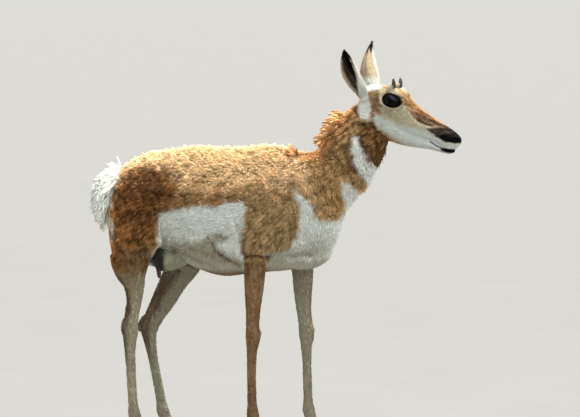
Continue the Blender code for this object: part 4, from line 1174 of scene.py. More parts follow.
# %% Markings of the head
def head_colours(points, normals):
    local = in_head(points)
    flat = local[:, [0, 2]].copy()
    flat[:, 0] += 0.0018 * ripple(points, 0.016, 5)
    flat[:, 1] += 0.0018 * ripple(points, 0.014, 6)
    u, v = flat.T
    side = np.abs(local[:, 1])
    down = -normals @ np.array(HEAD.to_3x3())[:, 2]
    streak = eased(ripple(local * (0.30, 1, 1), 0.0085, 9), -0.7, 0.7)
    colour = np.tile(COLOURS["face"], (len(points), 1))
    colour = laid(colour, "forehead", eased(v, -0.006, 0.016) * (1 - eased(side, 0.022, 0.034)))
    colour = laid(colour, "throat", (1 - eased(u, -0.06, -0.03)) * (1 - eased(v, -0.06, -0.03)))
    jaw = eased(-v, 0.080, 0.096) * (1 - eased(u, 0.08, 0.13))
    colour = laid(colour, "neck", 0.8 * jaw)
    colour = laid(colour, "cheek", inside(flat, CHEEK_WHITE, 0.020))
    colour = laid(colour, "cream", 0.6 * eased(down, 0.75, 0.95) * eased(u, 0.02, 0.05))
    colour = laid(colour, "white", 0.95 * inside(flat, CROWN_WHITE, 0.012))
    colour = laid(colour, "white", 0.95 * inside(flat, UNDER_EAR, 0.008))
    fine = eased(ripple(points, 0.011, 74), -0.8, 0.8)
    temple = inside(flat, TEMPLE_BROWN, 0.014) * eased(side, 0.020, 0.030)
    colour = laid(colour, "side", 0.85 * temple)
    colour = laid(colour, "brown", 0.80 * temple * (1 - fine))
    brow = inside(flat, BROW_CREAM, 0.010) * eased(side, 0.018, 0.026)
    colour = laid(colour, "cream", brow * (0.30 + 0.70 * eased(u, -0.015, 0.005)))
    bridge = inside(flat, BRIDGE_BROWN, 0.008)
    colour = laid(colour, "brown", bridge * (0.70 + 0.30 * streak) * eased(u, -0.01, 0.05))
    colour = laid(colour, "muzzle", bridge * (0.30 + 0.65 * streak) * eased(u, 0.02, 0.13))
    # a paler stripe along the top of the nose: painted highlight where the light caught the ridge
    top = (1 - eased(side, 0.004, 0.014)) * eased(v, -0.02, 0.0) * (1 - eased(u, 0.135, 0.185))
    colour = laid(colour, "nape", 0.75 * top * eased(u, 0.02, 0.06))
    colour = laid(colour, "muzzle", (0.80 + 0.20 * streak) * inside(flat, MUZZLE_DARK, 0.007))
    colour = laid(colour, "black", 0.45 * inside(flat, MUZZLE_DARK, 0.010) * eased(u, 0.135, 0.165))
    colour = laid(colour, "cream", 0.80 * along_line(flat, RIDGE_LINE, 0.0032) * (side > 0.010))
    colour = laid(colour, "hock", 0.7 * along_line(flat, REAR_LINE, 0.0045) * eased(side, 0.030, 0.036))
    colour = laid(colour, "hock", 0.6 * along_line(flat, TEAR_LINE, 0.0040) * eased(side, 0.020, 0.028))
    still = local[:, [0, 2]]
    colour = laid(colour, "black", inside(still, NOSE_BLACK, 0.004))
    line = to_line(still, MOUTH)
    colour = laid(colour, "black", (1 - eased(line, 0.0010, 0.0026)) * (still[:, 0] > 0.142))
    colour = laid(colour, "black", inside(still, LIP_BLACK, 0.004))
    eye = np.hypot((still[:, 0] - EYE_PLACE.x) / 1.42, still[:, 1] - EYE_PLACE.z - 0.10 * still[:, 0])
    around = eased(side, 0.030, 0.038)
    below = (1 - eased(eye, 0.0228, 0.0250)) * (1 - eased(still[:, 1], -0.010, 0.002))
    colour = laid(colour, "cream", 0.7 * below * around)
    above = around * eased(still[:, 1], 0.0, 0.010)
    colour = laid(colour, "hock", 0.55 * (1 - eased(eye, 0.0220, 0.0250)) * above)
    return laid(colour, "black", (1 - eased(eye, 0.0203, 0.0215)) * around)


# %% All markings together
def coat_colours(points, normals):
    trunk = trunk_colours(points, normals)
    legs = leg_colours(points, normals)
    high = eased(points[:, 2] - 0.034 * by_elbow(points), 0.495, 0.525)[:, None]
    colour = legs + (trunk - legs) * high
    local = in_head(points)
    jaw = np.interp(local[:, 0], *JAW_LINE)
    face = eased(local[:, 0], -0.098, -0.082) * by_head(points)
    face = (face * eased(local[:, 2], jaw - 0.007, jaw + 0.003))[:, None]
    colour = colour + (head_colours(points, normals) - colour) * face
    brown = eased((colour[:, 0] - colour[:, 2]) / np.maximum(colour[:, 0], 1e-3), 0.25, 0.55)
    brown = brown * (0.25 + 0.75 * eased(points[:, 2], 0.50, 0.60)) * (1 - 0.6 * face[:, 0])
    strand = points @ np.array([[0.80, 0, -0.60], [0, 1, 0], [0.21, 0, 0.28]]).T
    patch = 0.62 * (clumps(points) - 0.5) + 0.40 * ripple(strand, 0.0070, 64).clip(-1, 1)
    patch += 0.20 * ripple(strand, 0.034, 81).clip(-1, 1)
    deep = 1 + 0.75 * eased(0.50 - colour[:, 0], 0.0, 0.20) * (points[:, 2] > 0.50)
    # shade mixes the coat's own mottled tone with painted light on the tops of clumps and painted shade in the cracks
    # between them
    shade = 1.04 + (0.08 + 1.02 * brown * deep) * patch - 0.58 * brown * gaps(points)
    shade = np.maximum(shade, 0.34)
    # painted highlight: lighter patches turn paler, as lit hair does
    painted_highlight_tint = 1 + 0.22 * (brown * patch)[:, None] * np.array([0.0, -0.10, 0.90])
    colour = colour * shade[:, None] * painted_highlight_tint
    return colour / np.maximum(colour.max(axis=1), 1.0)[:, None]


def attribute(mesh, name, kind, domain, values):
    """Stores an array as an attribute of a mesh."""
    made = mesh.attributes.get(name) or mesh.attributes.new(name, kind, domain)
    field = {"FLOAT_COLOR": "color", "FLOAT_VECTOR": "vector"}.get(kind, "value")
    made.data.foreach_set(field, np.ascontiguousarray(values, np.float32 if kind != "INT" else np.int32).ravel())


def coloured(mesh, colours):
    attribute(mesh, "coat", "FLOAT_COLOR", "POINT", np.column_stack([colours.clip(0, 1), np.ones(len(colours))]))


def felted(points):
    """How far each point rises or sinks: the tan coat is felted into clumps, the white lies flat."""
    x, z = points[:, 0], points[:, 2]
    flat = side_view(points)
    woolly = eased(z, 0.60, 0.70) * (1 - on_face(points)) * (1 - eased(-x, 0.44, 0.47))
    white = np.maximum(inside(flat, FLANK_WHITE, 0.02), inside(flat, CHEST_WHITE, 0.02))
    rise = 0.0040 * (clumps(points) - 0.5) - 0.0022 * gaps(points)
    return rise * woolly * (1 - 0.7 * white)


# %% Felted and coloured
skin_points = points_of(skin.data)
skin_points = skin_points + relaxed_normals(skin.data, 2) * felted(skin_points)[:, None]
moved_to(skin.data, skin_points)
skin_normals = normals_of(skin.data)
coloured(skin.data, coat_colours(skin_points, skin_normals))
print("coloured", len(skin_points), "points of skin")

# %% [markdown]
# ## Finishes
#
# Hair is matt with a faint sheen. On the skin, short flat fur is bump: noise drawn out along the
# body, which reads as combed hair where the tufts are thin, and the skin is darkened a little as
# painted shade under the coat. The tufts take the skin's colour and get lighter from root to tip,
# the darker roots being painted shade, each a little different from its neighbours.

# %% Fur on the skin
def fur_paint(name, stretch, depth, painted_shade=1.0):
    paint = Paint(name, Roughness=0.8)
    paint.shader.inputs["Specular IOR Level"].default_value = 0.08
    hairs = paint.noise(paint.place(stretch), 60.0, 4.0)
    clumps = paint.noise(paint.place(), 45.0, 3.0)
    # painted_shade darkens the fur as painted shade, for skin that lies under tufts
    shade = (hairs * 0.55 + clumps * 0.30 + 0.56) * painted_shade
    paint.feed(Base_Color=paint.scaled(paint.read("coat"), shade))
    paint.bumped(hairs, depth)
    return paint.material


# %% Fur in tufts
def tuft_paint(name, painted_root_shade=0.56, light_tip=1.20):
    """Painted shade darkens the tufts towards their roots, white ones less, because light passes through white hair."""
    paint = Paint(name, Roughness=0.72)
    paint.shader.inputs["Specular IOR Level"].default_value = 0.10
    tip = paint.number("tip")
    coat = paint.read("coat")
    pale = paint.node("ShaderNodeRGBToBW", None, {0: coat})
    # root: painted shade at the tufts' roots, weaker on pale hair
    root = pale * 0.42 + painted_root_shade
    shade = (tip * light_tip + root * (1 - tip)) * (paint.number("shade") * 0.44 + 0.78)
    paint.feed(Base_Color=paint.scaled(coat, shade))
    return paint.material


# 0.92: the skin under the tufts is darkened as painted shade of the coat
skin_fur = fur_paint("flat_fur", (0.35, 1.0, 0.7), 0.0012, 0.92)
skin.data.materials.append(skin_fur)
coat_fur = tuft_paint("coat_tufts")
long_fur = tuft_paint("long_tufts", 0.78, 1.06)


# %% [markdown]
# ## The lie of the coat
#
# Hair on a pronghorn lies back from the nose, down the neck and shoulder, back along the barrel
# and down the legs, and on the rump it stands out like a fan. A direction is stored at every
# point of the skin, together with the length, width and rise of the tufts that grow there.

# %% Direction of the hair
def lie_of(points, normals):
    x, y, z = points.T
    down = np.interp(x, (-0.45, -0.36, -0.22, -0.06, 0.04, 0.12), (62, 48, 24, 34, 62, 74))
    down = down + 9 * ripple(points, 0.16, 11) + 16 * ripple(points, 0.032, 12)
    down = down + (90 - down) * (1 - eased(z, 0.50, 0.60))
    turn = np.radians(down)
    lie = np.column_stack([-np.cos(turn), 0.06 * ripple(points, 0.1, 13), -np.sin(turn)])
    neck = eased(x + 0.5 * (z - 0.75), 0.085, 0.13) * (z > 0.6)
    lie += (np.array([-0.42, 0, -0.90]) + 0.10 * np.column_stack([ripple(points, 0.06, 14)] * 3) - lie) * neck[:, None]
    rump = eased(-x, 0.440, 0.470) * eased(z, 0.55, 0.60)
    fan = np.column_stack([np.full(len(x), -0.25), 9 * y, np.where(z > 0.755, -0.1, -1.0)])
    fan[:, 0] = np.where(z > 0.755, -1.0, fan[:, 0])
    lie += (fan / np.linalg.norm(fan, axis=1)[:, None] - lie) * rump[:, None]
    local = in_head(points)
    back = np.column_stack([np.full(len(x), -1.0), 0.25 * np.sign(local[:, 1]), -0.25 - 3.0 * np.abs(local[:, 1])])
    back = back @ np.array(HEAD.to_3x3()).T
    lie += (back / np.linalg.norm(back, axis=1)[:, None] - lie) * on_face(points)[:, None]
    lie -= normals * np.sum(lie * normals, axis=1)[:, None]
    return lie / np.maximum(np.linalg.norm(lie, axis=1), 1e-6)[:, None]


# %% Length, width and rise of the tufts
def tuft_sizes(points):
    x, y, z = points.T
    face = on_face(points)
    local = in_head(points)
    trunk = eased(z, 0.50, 0.60)
    long = 0.0095 + 0.0045 * trunk
    wide = 0.0016 + 0.0001 * trunk
    rise = 0.0016 + 0.0034 * trunk
    rise += 0.0034 * clumps(points) * trunk
    long += 0.0030 * (clumps(points) - 0.5) * trunk
    fine = 1 - eased(local[:, 0], -0.06, 0.10) * 0.55
    long = long + (0.0085 * fine - long) * face
    wide = wide + (0.0013 * (0.6 + 0.4 * fine) - wide) * face
    rise = rise + (0.0014 * fine - rise) * face
    low = 1 - eased(z, 0.05, 0.14)
    long *= 1 - 0.35 * low
    return long, wide, rise


# %% [markdown]
# ## Zones and an unwrap
#
# The coat is laid zone by zone, because a piece should stay under 200,000 triangles. Each zone
# is unrolled round its own axis, and every tuft is a small patch of that unwrap, at its root.

# %% Zones of the skin
ZONES = (
    "head_right", "neck_right", "neck_left", "fore_right", "fore_left", "mid_right",
    "mid_left", "rear_right", "rear_left", "rump", "fore_legs", "hind_legs",
    "head_left",
)
LEG_TOP = 0.52
NECK_LEAN = 0.5


def zone_of(points):
    x, y, z = points.T
    left = (y > 0).astype(int)
    zone = np.where(x > -0.085, 3 + left, np.where(x > -0.250, 5 + left, 7 + left))
    zone = np.where(x + NECK_LEAN * (z - 0.75) > 0.105, 1 + left, zone)
    zone = np.where((x < -0.462) & (z > 0.56), 9, zone)
    local = in_head(points)
    head = np.where(local[:, 1] > 0, 12, 0)
    zone = np.where((local[:, 0] > -0.092) & (by_head(points) > 0.5), head, zone)
    zone = np.where(z < LEG_TOP, np.where(x > -0.2, 10, 11), zone)
    return zone


def unrolled(points, zone):
    """Along and around each zone's axis; the angle runs from -pi to pi."""
    x, y, z = points.T
    local = in_head(points)
    head = (zone == 0) | (zone == 12)
    along = np.where(head, local[:, 0], np.where((zone == 1) | (zone == 2), z - 0.45 * x, x))
    leg = (zone == 10) | (zone == 11)
    along = np.where(leg, z, along)
    angle = np.arctan2(z - 0.68, np.abs(y))
    neck_side = (x - 0.19) - 0.5 * (z - 0.82)
    angle = np.where((zone == 1) | (zone == 2), np.arctan2(neck_side, np.abs(y)), angle)
    angle = np.where(head, np.arctan2(local[:, 1], local[:, 2] + 0.035), angle)
    leg_x = np.where(y > 0, np.interp(z, (0, 0.3, 0.5), (0.11, 0.083, 0.07)), -0.07)
    hind_x = np.where(y > 0, np.interp(z, (0, 0.1, 0.33, 0.52), (-0.30, -0.33, -0.365, -0.28)), -0.41)
    centre = np.where(zone == 10, leg_x, hind_x)
    angle = np.where(leg, np.arctan2(np.abs(y) - 0.074, x - centre), angle)
    rump = zone == 9
    return np.where(rump, z, along), np.where(rump, y * 4, angle)


def unwrapped(mesh, zone_func, unroll_func, tile_func):
    """Stores the zone of each face, and each corner's place on its zone's unwrap."""
    points = points_of(mesh)
    loops = np.empty(len(mesh.loops), np.int32)
    mesh.loops.foreach_get("vertex_index", loops)
    sizes = np.empty(len(mesh.polygons), np.int32)
    mesh.polygons.foreach_get("loop_total", sizes)
    owner = np.repeat(np.arange(len(sizes)), sizes)
    middle = np.column_stack([np.bincount(owner, points[loops, k], len(sizes)) / sizes for k in range(3)])
    zone = zone_func(middle)
    attribute(mesh, "zone", "INT", "FACE", zone)
    face_along, face_angle = unroll_func(middle, zone)
    along, angle = unroll_func(points[loops], zone[owner])
    turned = angle - face_angle[owner]
    angle = face_angle[owner] + (turned + math.pi) % (2 * math.pi) - math.pi
    tile, tiles = tile_func(middle, zone)
    spot = np.zeros((len(loops), 3))
    for number in np.unique(zone):
        pick = zone[owner] == number
        for column, values in ((0, along), (1, angle)):
            low, high = values[pick].min(), values[pick].max()
            spot[pick, column] = 0.004 + 0.992 * (values[pick] - low) / max(high - low, 1e-6)
    spot[:, 1] = (tile[owner] + 0.004 + 0.992 * spot[:, 1]) / tiles[owner]
    attribute(mesh, "unwrap", "FLOAT_VECTOR", "CORNER", spot)
    return np.bincount(zone)


def skin_tiles(middle, zone):
    """The two legs of a pair get half of their zone's unwrap each."""
    legs = (zone == 10) | (zone == 11)
    return np.where(legs, middle[:, 1] > 0, 0).astype(int), np.where(legs, 2, 1)


def combed(mesh, lie, sizes, density):
    """Stores what the tufts need at their roots."""
    long, wide, rise = sizes
    attribute(mesh, "lie", "FLOAT_VECTOR", "POINT", lie)
    attribute(mesh, "size", "FLOAT_VECTOR", "POINT", np.column_stack([long, wide, rise]))
    attribute(mesh, "thick", "FLOAT", "POINT", density)


def skin_density(points):
    """Tufts per square metre: none on the eyes' edge, nose, lips and soles."""
    local = in_head(points)
    face = on_face(points)
    eye = np.hypot((local[:, 0] - EYE_PLACE.x) / 1.30, local[:, 2] - EYE_PLACE.z)
    bare = (1 - eased(eye, 0.023, 0.026)) * (np.abs(local[:, 1]) > 0.03) * face
    bare = np.maximum(bare, face * eased(local[:, 0], 0.196, 0.204) * eased(local[:, 2], -0.047, -0.040))
    line = to_line(local[:, [0, 2]], MOUTH)
    bare = np.maximum(bare, face * (local[:, 0] > 0.138) * (1 - eased(line, 0.0030, 0.0060)))
    bare = np.maximum(bare, 1 - eased(points[:, 2], 0.026, 0.032))
    trunk = eased(points[:, 2], 0.50, 0.58)
    count = 88000 + 44000 * trunk
    count = count + (240000 - count) * face
    return count * (1 - bare)


skin_lie = lie_of(skin_points, relaxed_normals(skin.data, 2))
combed(skin.data, skin_lie, tuft_sizes(skin_points), skin_density(skin_points))
print("faces per zone:", unwrapped(skin.data, zone_of, unrolled, skin_tiles))

# %% [markdown]
# ## Tufts by Geometry Nodes
#
# A tuft is a thin closed blade that rises from the skin and bends along the lie. Geometry Nodes
# scatters points over one zone of the skin, turns a blade at each by the stored direction, and
# scales it by the stored size. The instances are then realized into one plain mesh. The
# instances are realized, because the export drops instances.

# %% One tuft
PATCH = 0.003  # size of a tuft on the unwrap


def tuft_blade(name, rings, tip_at):
    """A closed blade along X, one unit long and wide, its tip one unit up."""
    shape = bmesh.new()
    levels = []
    for along, up, half in rings:
        corners = ((-half, 0.0), (half, 0.0), (0.0, 0.26 * half + 0.10))
        levels.append([shape.verts.new((along, side, up + rise)) for side, rise in corners])
    end = shape.verts.new(tip_at)
    for low, high in zip(levels, levels[1:]):
        for i in range(3):
            shape.faces.new((low[i], low[(i + 1) % 3], high[(i + 1) % 3], high[i]))
    for i in range(3):
        shape.faces.new((levels[-1][i], levels[-1][(i + 1) % 3], end))
    shape.faces.new(levels[0][::-1])
    bmesh.ops.recalc_face_normals(shape, faces=shape.faces)
    patch = shape.loops.layers.uv.new("OFBake")
    for face in shape.faces:
        face.smooth = True
        for corner in face.loops:
            spot = corner.vert.co
            corner[patch].uv = ((spot.x - 0.5) * PATCH * 0.9, spot.y * PATCH * 0.9)
    blade = as_object(name, shape)
    tips = [min(max(v.co.x, 0), 1) for v in blade.data.vertices]
    attribute(blade.data, "tip", "FLOAT", "POINT", tips)
    blade.hide_render = True
    return blade


SHORT_RINGS = ((-0.06, -0.35, 0.42), (0.48, 0.66, 0.50))
LONG_RINGS = ((-0.06, -0.10, 0.40), (0.25, 0.42, 0.50), (0.55, 0.76, 0.44), (0.82, 0.94, 0.26))
short_tuft = tuft_blade("short_tuft", SHORT_RINGS, (1.0, 0.0, 0.95))
long_tuft = tuft_blade("long_tuft", LONG_RINGS, (1.05, 0.0, 1.0))
print("triangles in a tuft:", [sum(len(f.vertices) - 2 for f in o.data.polygons) for o in (short_tuft, long_tuft)])


# %% The tree that lays a coat
def coat_tree():
    tree = bpy.data.node_groups.new("lay_coat", "GeometryNodeTree")
    sockets = (
        ("Skin", "Geometry"), ("Tuft", "Object"), ("Zone", "Int"), ("Share", "Float"),
        ("Length", "Float"), ("Rise", "Float"), ("Unrest", "Float"), ("Seed", "Int"), ("Finish", "Material"),
    )
    for name, kind in sockets:
        tree.interface.new_socket(name, in_out="INPUT", socket_type="NodeSocket" + kind)
    tree.interface.new_socket("Coat", in_out="OUTPUT", socket_type="NodeSocketGeometry")
    net = Net(tree)
    entry = tree.nodes.new("NodeGroupInput")
    ask = {s.name: Wire(net, s) for s in entry.outputs}

    def named(name, kind):
        return net.node("GeometryNodeInputNamedAttribute", {"data_type": kind}, {"Name": name})

    def chance(low, high, shift):
        values = {2: low, 3: high, "Seed": ask["Seed"] + shift}
        return net.node("FunctionNodeRandomValue", {"data_type": "FLOAT"}, values, output=1)

    same = {"data_type": "INT", "operation": "EQUAL"}
    chosen = net.node("FunctionNodeCompare", same, {2: named("zone", "INT"), 3: ask["Zone"]})
    values = {"Mesh": ask["Skin"], "Selection": chosen, "Seed": ask["Seed"]}
    values["Density"] = named("thick", "FLOAT") * ask["Share"]
    points = net.node("GeometryNodeDistributePointsOnFaces", {"distribute_method": "RANDOM"}, values)
    normal = Wire(net, points.socket.node.outputs["Normal"])
    axes = {"primary_axis": "Z", "secondary_axis": "X"}
    stand = net.node("FunctionNodeAxesToRotation", axes, {0: normal, 1: named("lie", "FLOAT_VECTOR")})
    swing = net.node("ShaderNodeCombineXYZ", None, {"Z": chance(-1, 1, 1) * ask["Unrest"]})
    swing = net.node("FunctionNodeEulerToRotation", None, {0: swing})
    stand = net.node("FunctionNodeRotateRotation", {"rotation_space": "LOCAL"}, {0: stand, 1: swing})
    size = named("size", "FLOAT_VECTOR")
    parts = net.node("ShaderNodeSeparateXYZ", None, {0: size})
    wide = Wire(net, parts.socket.node.outputs[1])
    rise = Wire(net, parts.socket.node.outputs[2])
    extent = {
        "X": parts * ask["Length"] * chance(0.72, 1.22, 2),
        "Y": wide * chance(0.80, 1.25, 3),
        "Z": rise * ask["Rise"] * chance(0.55, 1.25, 4),
    }
    extent = net.node("ShaderNodeCombineXYZ", None, extent)
    blade = net.node("GeometryNodeObjectInfo", {"transform_space": "ORIGINAL"}, {"Object": ask["Tuft"]}, output=4)
    values = {"Points": points, "Instance": blade, "Rotation": stand, "Scale": extent}
    tufts = net.node("GeometryNodeInstanceOnPoints", None, values)
    store = {"data_type": "FLOAT", "domain": "INSTANCE"}
    tufts = net.node("GeometryNodeStoreNamedAttribute", store, {0: tufts, "Name": "shade", "Value": chance(0, 1, 5)})
    whole = net.node("GeometryNodeRealizeInstances", None, {0: tufts})
    spot = net.node("ShaderNodeVectorMath", {"operation": "ADD"},
                    {0: named("OFBake", "FLOAT_VECTOR"), 1: named("unwrap", "FLOAT_VECTOR")})
    store = {"data_type": "FLOAT2", "domain": "CORNER"}
    whole = net.node("GeometryNodeStoreNamedAttribute", store, {0: whole, "Name": "OFBake", "Value": spot})
    whole = net.node("GeometryNodeSetMaterial", None, {0: whole, "Material": ask["Finish"]})
    exit_node = tree.nodes.new("NodeGroupOutput")
    tree.links.new(whole.socket, exit_node.inputs[0])
    return tree


COAT_TREE = coat_tree()
KEPT = {"coat", "tip", "shade", "OFBake", "position", ".edge_verts", ".corner_vert", ".corner_edge", "material_index"}


def laid_coat(name, ground, **inputs):
    """The tufts of one zone as a plain mesh."""
    carrier = twin_of(ground, "carrier")
    change = carrier.modifiers.new("coat", "NODES")
    change.node_group = COAT_TREE
    settings = {"Tuft": short_tuft, "Zone": 0, "Share": 1.0, "Length": 1.0, "Rise": 1.0}
    settings |= {"Unrest": 0.30, "Seed": 1, "Finish": coat_fur}
    settings |= inputs
    for item in COAT_TREE.interface.items_tree:
        if item.in_out == "INPUT" and item.name in settings:
            change[item.identifier] = settings[item.name]
    carrier.update_tag()
    graph = bpy.context.evaluated_depsgraph_get()
    mesh = bpy.data.meshes.new_from_object(carrier.evaluated_get(graph), depsgraph=graph)
    removed(carrier)
    for old in [a.name for a in mesh.attributes if a.name not in KEPT and not a.is_internal]:
        if not mesh.attributes[old].is_required:
            mesh.attributes.remove(mesh.attributes[old])
    mesh.shade_smooth()
    made = bpy.data.objects.new(name, mesh)
    SCENE.collection.objects.link(made)
    corners = np.empty(len(mesh.polygons), np.int32)
    mesh.polygons.foreach_get("loop_total", corners)
    print(name, "triangles:", int((corners - 2).sum()))
    return made

# %% [markdown]
# ## The coat of the body
#
# Twelve zones cover the body with short tufts. The white hair of the rump is raised in alarm
# and stands three centimetres off the skin, and a mane runs down the nape. Both are the same
# tree with a longer blade.

# %% Short coat
coat = []
for number, zone in enumerate(ZONES):
    if zone == "rump":
        continue
    coat.append(laid_coat(f"coat_{zone}", skin, Zone=number, Seed=20 + number))


# %% Raised hair of the rump, the nape, the withers and the horns' roots
def one_zone(middle):
    return np.zeros(len(middle), int)


def one_tile(middle, zone):
    return zone * 0, zone * 0 + 1


def raised_zone(middle):
    """0 the rump, 1 the mane, 2 the withers, 3 round the horns."""
    zone = np.where(middle[:, 0] < -0.3, 0, np.where(middle[:, 0] < 0.085, 2, 1))
    return np.where(in_head(middle)[:, 0] > -0.080, 3, zone)


def raised_ground():
    """A copy of the skin that only carries the long hair."""
    made = twin_of(skin, "raised_ground")
    points = points_of(made.data)
    normals = relaxed_normals(made.data, 3)
    x, y, z = points.T
    local = in_head(points)
    zone = raised_zone(points)
    flat = side_view(points)
    rump = eased(inside(flat, RUMP_WHITE, 0.014), 0.7, 0.95) * eased(-x, 0.405, 0.435) * (z > 0.565)
    line = np.interp(z, (0.868, 0.893, 0.925, 0.958, 0.988), (0.137, 0.152, 0.173, 0.196, 0.222))
    mane = eased(z, 0.855, 0.885) * (z < 1.01) * eased(line + 0.036 - x, 0, 0.014)
    mane = mane * (1 - eased(np.abs(y + 0.004), 0.026, 0.044)) * (local[:, 0] < -0.104)
    crest = eased(0.020 - np.hypot(x - 0.042, (z - 0.838) * 1.6), 0, 0.010) * (y < 0)
    horn = np.hypot(local[:, 0] - HORN_PLACE.x, np.abs(local[:, 1]) - HORN_PLACE.y)
    tuft = (1 - eased(horn, 0.0095, 0.0125)) * (local[:, 2] > 0.012) * (zone == 3) * (local[:, 0] < HORN_PLACE.x + 0.003)
    count = np.select([zone == 0, zone == 1, zone == 2], [42000 * rump, 108000 * mane, 120000 * crest], 420000 * tuft)
    tangle = clumps(points * 1.1)
    high = np.select([zone == 0, zone == 1, zone == 2], [(0.008 + 0.015 * eased(z, 0.62, 0.70) + 0.004 * ripple(points, 0.04, 31)) * (1 - 0.5 * eased(z, 0.79, 0.81)), 0.006 + 0.024 * tangle, 0.012], 0.009)
    long = np.select([zone == 0, zone == 1, zone == 2], [0.024 + 0.012 * eased(z, 0.62, 0.70), 0.024 + 0.012 * tangle, 0.020], 0.0060)
    wide = np.select([zone == 0, zone == 1, zone == 2], [0.0028, 0.0020, 0.0020], 0.0016)
    lie = lie_of(points, normals)
    back = np.array([-0.86, 0, -0.25]) + 0.5 * np.column_stack([ripple(points, 0.035, k) for k in (32, 33, 34)])
    lie = np.where((zone == 1)[:, None], back, lie)
    root = np.column_stack([local[:, 0] - HORN_PLACE.x, local[:, 1] - np.sign(local[:, 1]) * HORN_PLACE.y])
    inward = np.column_stack([-root, np.zeros(len(x))]) @ np.array(HEAD.to_3x3()).T
    lie = np.where((zone == 3)[:, None], inward, lie)
    lie = lie - normals * np.sum(lie * normals, axis=1)[:, None]
    combed(made.data, lie, (long, wide, high), count)

    def roll(spots, zone):
        return spots[:, 2] + np.where(zone == 3, spots[:, 0], 0), spots[:, 1] * 4

    unwrapped(made.data, raised_zone, roll, one_tile)
    return made


ground = raised_ground()
long_look = {"Tuft": long_tuft, "Finish": long_fur, "Unrest": 0.35}
for number, part in enumerate(("rump", "mane", "withers", "horn_roots")):
    coat.append(laid_coat(f"hair_{part}", ground, Zone=number, Seed=51 + number, **long_look))
removed(ground)

# %% [markdown]
# ## Ears
#
# Each ear is a cup: nearly a tube at its root, wide in the middle, and pointed. It is dark
# inside with pale hair along its length, grey outside, and black at the tip. The same function
# as in the solids draws it, with more sections, and tufts cover both faces.

# %% Ear shape
EARS = {
    "right": ((0.2490, -0.0260, 0.9980), (0.1890, -0.0860, 1.1400), (-0.64, -0.77, 0), 1.0),
    "left": ((0.2765, 0.0260, 1.0035), (0.2710, 0.0800, 1.1600), (0.20, 0.98, 0), 0.86),
}
EAR_WIDTHS = (
    (0.0, 0.0165),
    (0.10, 0.0195),
    (0.20, 0.0265),
    (0.32, 0.0298),
    (0.46, 0.0294),
    (0.60, 0.0258),
    (0.73, 0.0205),
    (0.86, 0.0128),
    (0.95, 0.0060),
    (1.0, 0.0014),
)
EAR_RINGS = 44
EAR_COLUMNS = 22


def ear_shape(side, notes):
    """The cup, and for each of its points the share of the length, the angle and the face."""
    root, tip, facing = (Vector(place) for place in EARS[side][:3])
    spread = EARS[side][3]
    out = -1 if side == "right" else 1
    axis = (tip - root).normalized()
    open_way = (facing - axis * facing.dot(axis)).normalized()
    across = axis.cross(open_way)
    rings = []
    for share, _, _, wide in through([(s, 0, 0, half * spread) for s, half in EAR_WIDTHS], EAR_RINGS):
        reach = math.radians(150 - 85 * share**0.6)
        deep = 0.95 - 0.35 * share
        bow = Vector((-0.012, 0, 0)) * math.sin(math.pi * share)
        middle = root + axis * ((tip - root).length * share) + bow
        turn = Matrix.Rotation(out * EAR_TWIST * (0.5 - share), 3, axis)
        ring = []
        for wall in (0, 1):
            for j in range(EAR_COLUMNS + 1):
                part = j / EAR_COLUMNS if wall == 0 else 1 - j / EAR_COLUMNS
                angle = reach * (2 * part - 1)
                radius = wide - 0.0006 if wall == 0 else max(wide - EAR_WALL, 0.0006)
                ridge = 0.0008 * math.cos(9 * angle) * wall * (1 - share)
                radius += ridge
                spot = across * (math.sin(angle) * radius) - open_way * (math.cos(angle) * radius * deep)
                ring.append(middle + turn @ spot)
                notes.append((share, angle / reach, wall))
        rings.append(ring)
    return loft(rings, strip_ends=True)


def ear_colours(notes, side):
    share, edge, wall = notes.T
    ahead = edge if side == "right" else -edge  # 1 on the edge that lies to the front
    streak = (0.5 + 0.5 * np.sin(edge * 21 + 2.5 * np.sin(share * 9))) ** 2
    outer = np.tile(COLOURS["white"] * 0.80, (len(notes), 1))
    outer = laid(outer, "face", 0.9 * eased(-ahead, -0.70, -0.45))
    outer = laid(outer, "nape", 0.50 * streak * eased(-ahead, -0.75, -0.40))
    outer = laid(outer, "grey", eased(-ahead, -0.20, 0.25) * (0.62 + 0.38 * streak))
    dark_streak = eased(np.sin(edge * 26 + 1.2 * np.sin(share * 7)), 0.2, 0.9)
    outer = laid(outer, "hock", 0.55 * dark_streak * eased(-ahead, -0.35, 0.40) * eased(share, 0.12, 0.35))
    outer = laid(outer, "cheek", eased(-share, -0.34, -0.20))
    inner = np.tile(COLOURS["black"], (len(notes), 1))
    inner = laid(inner, "brown", 0.7 * eased(-ahead, 0.50, 0.80))
    inner = laid(inner, "grey", 0.65 * (0.25 + 0.75 * streak) * eased(-ahead, 0.05, 0.55))
    pale_streak = (0.5 + 0.5 * np.sin(edge * 15 + 2.0)) ** 2 * eased(-share, -0.55, -0.30)
    inner = laid(inner, "grey", 0.75 * pale_streak)
    inner = laid(inner, "cream", 0.9 * eased(np.abs(edge), 0.84, 0.93) * eased(-share, -0.90, -0.75))
    colour = np.where(wall[:, None] > 0.5, inner, outer)
    tip = eased(share + 0.05 * np.sin(edge * 9), 0.74, 0.84)
    return laid(colour, "black", tip)


# %% Ears and their hair
ear_fur = fur_paint("ear_fur", (1.0, 1.0, 0.3), 0.0006)


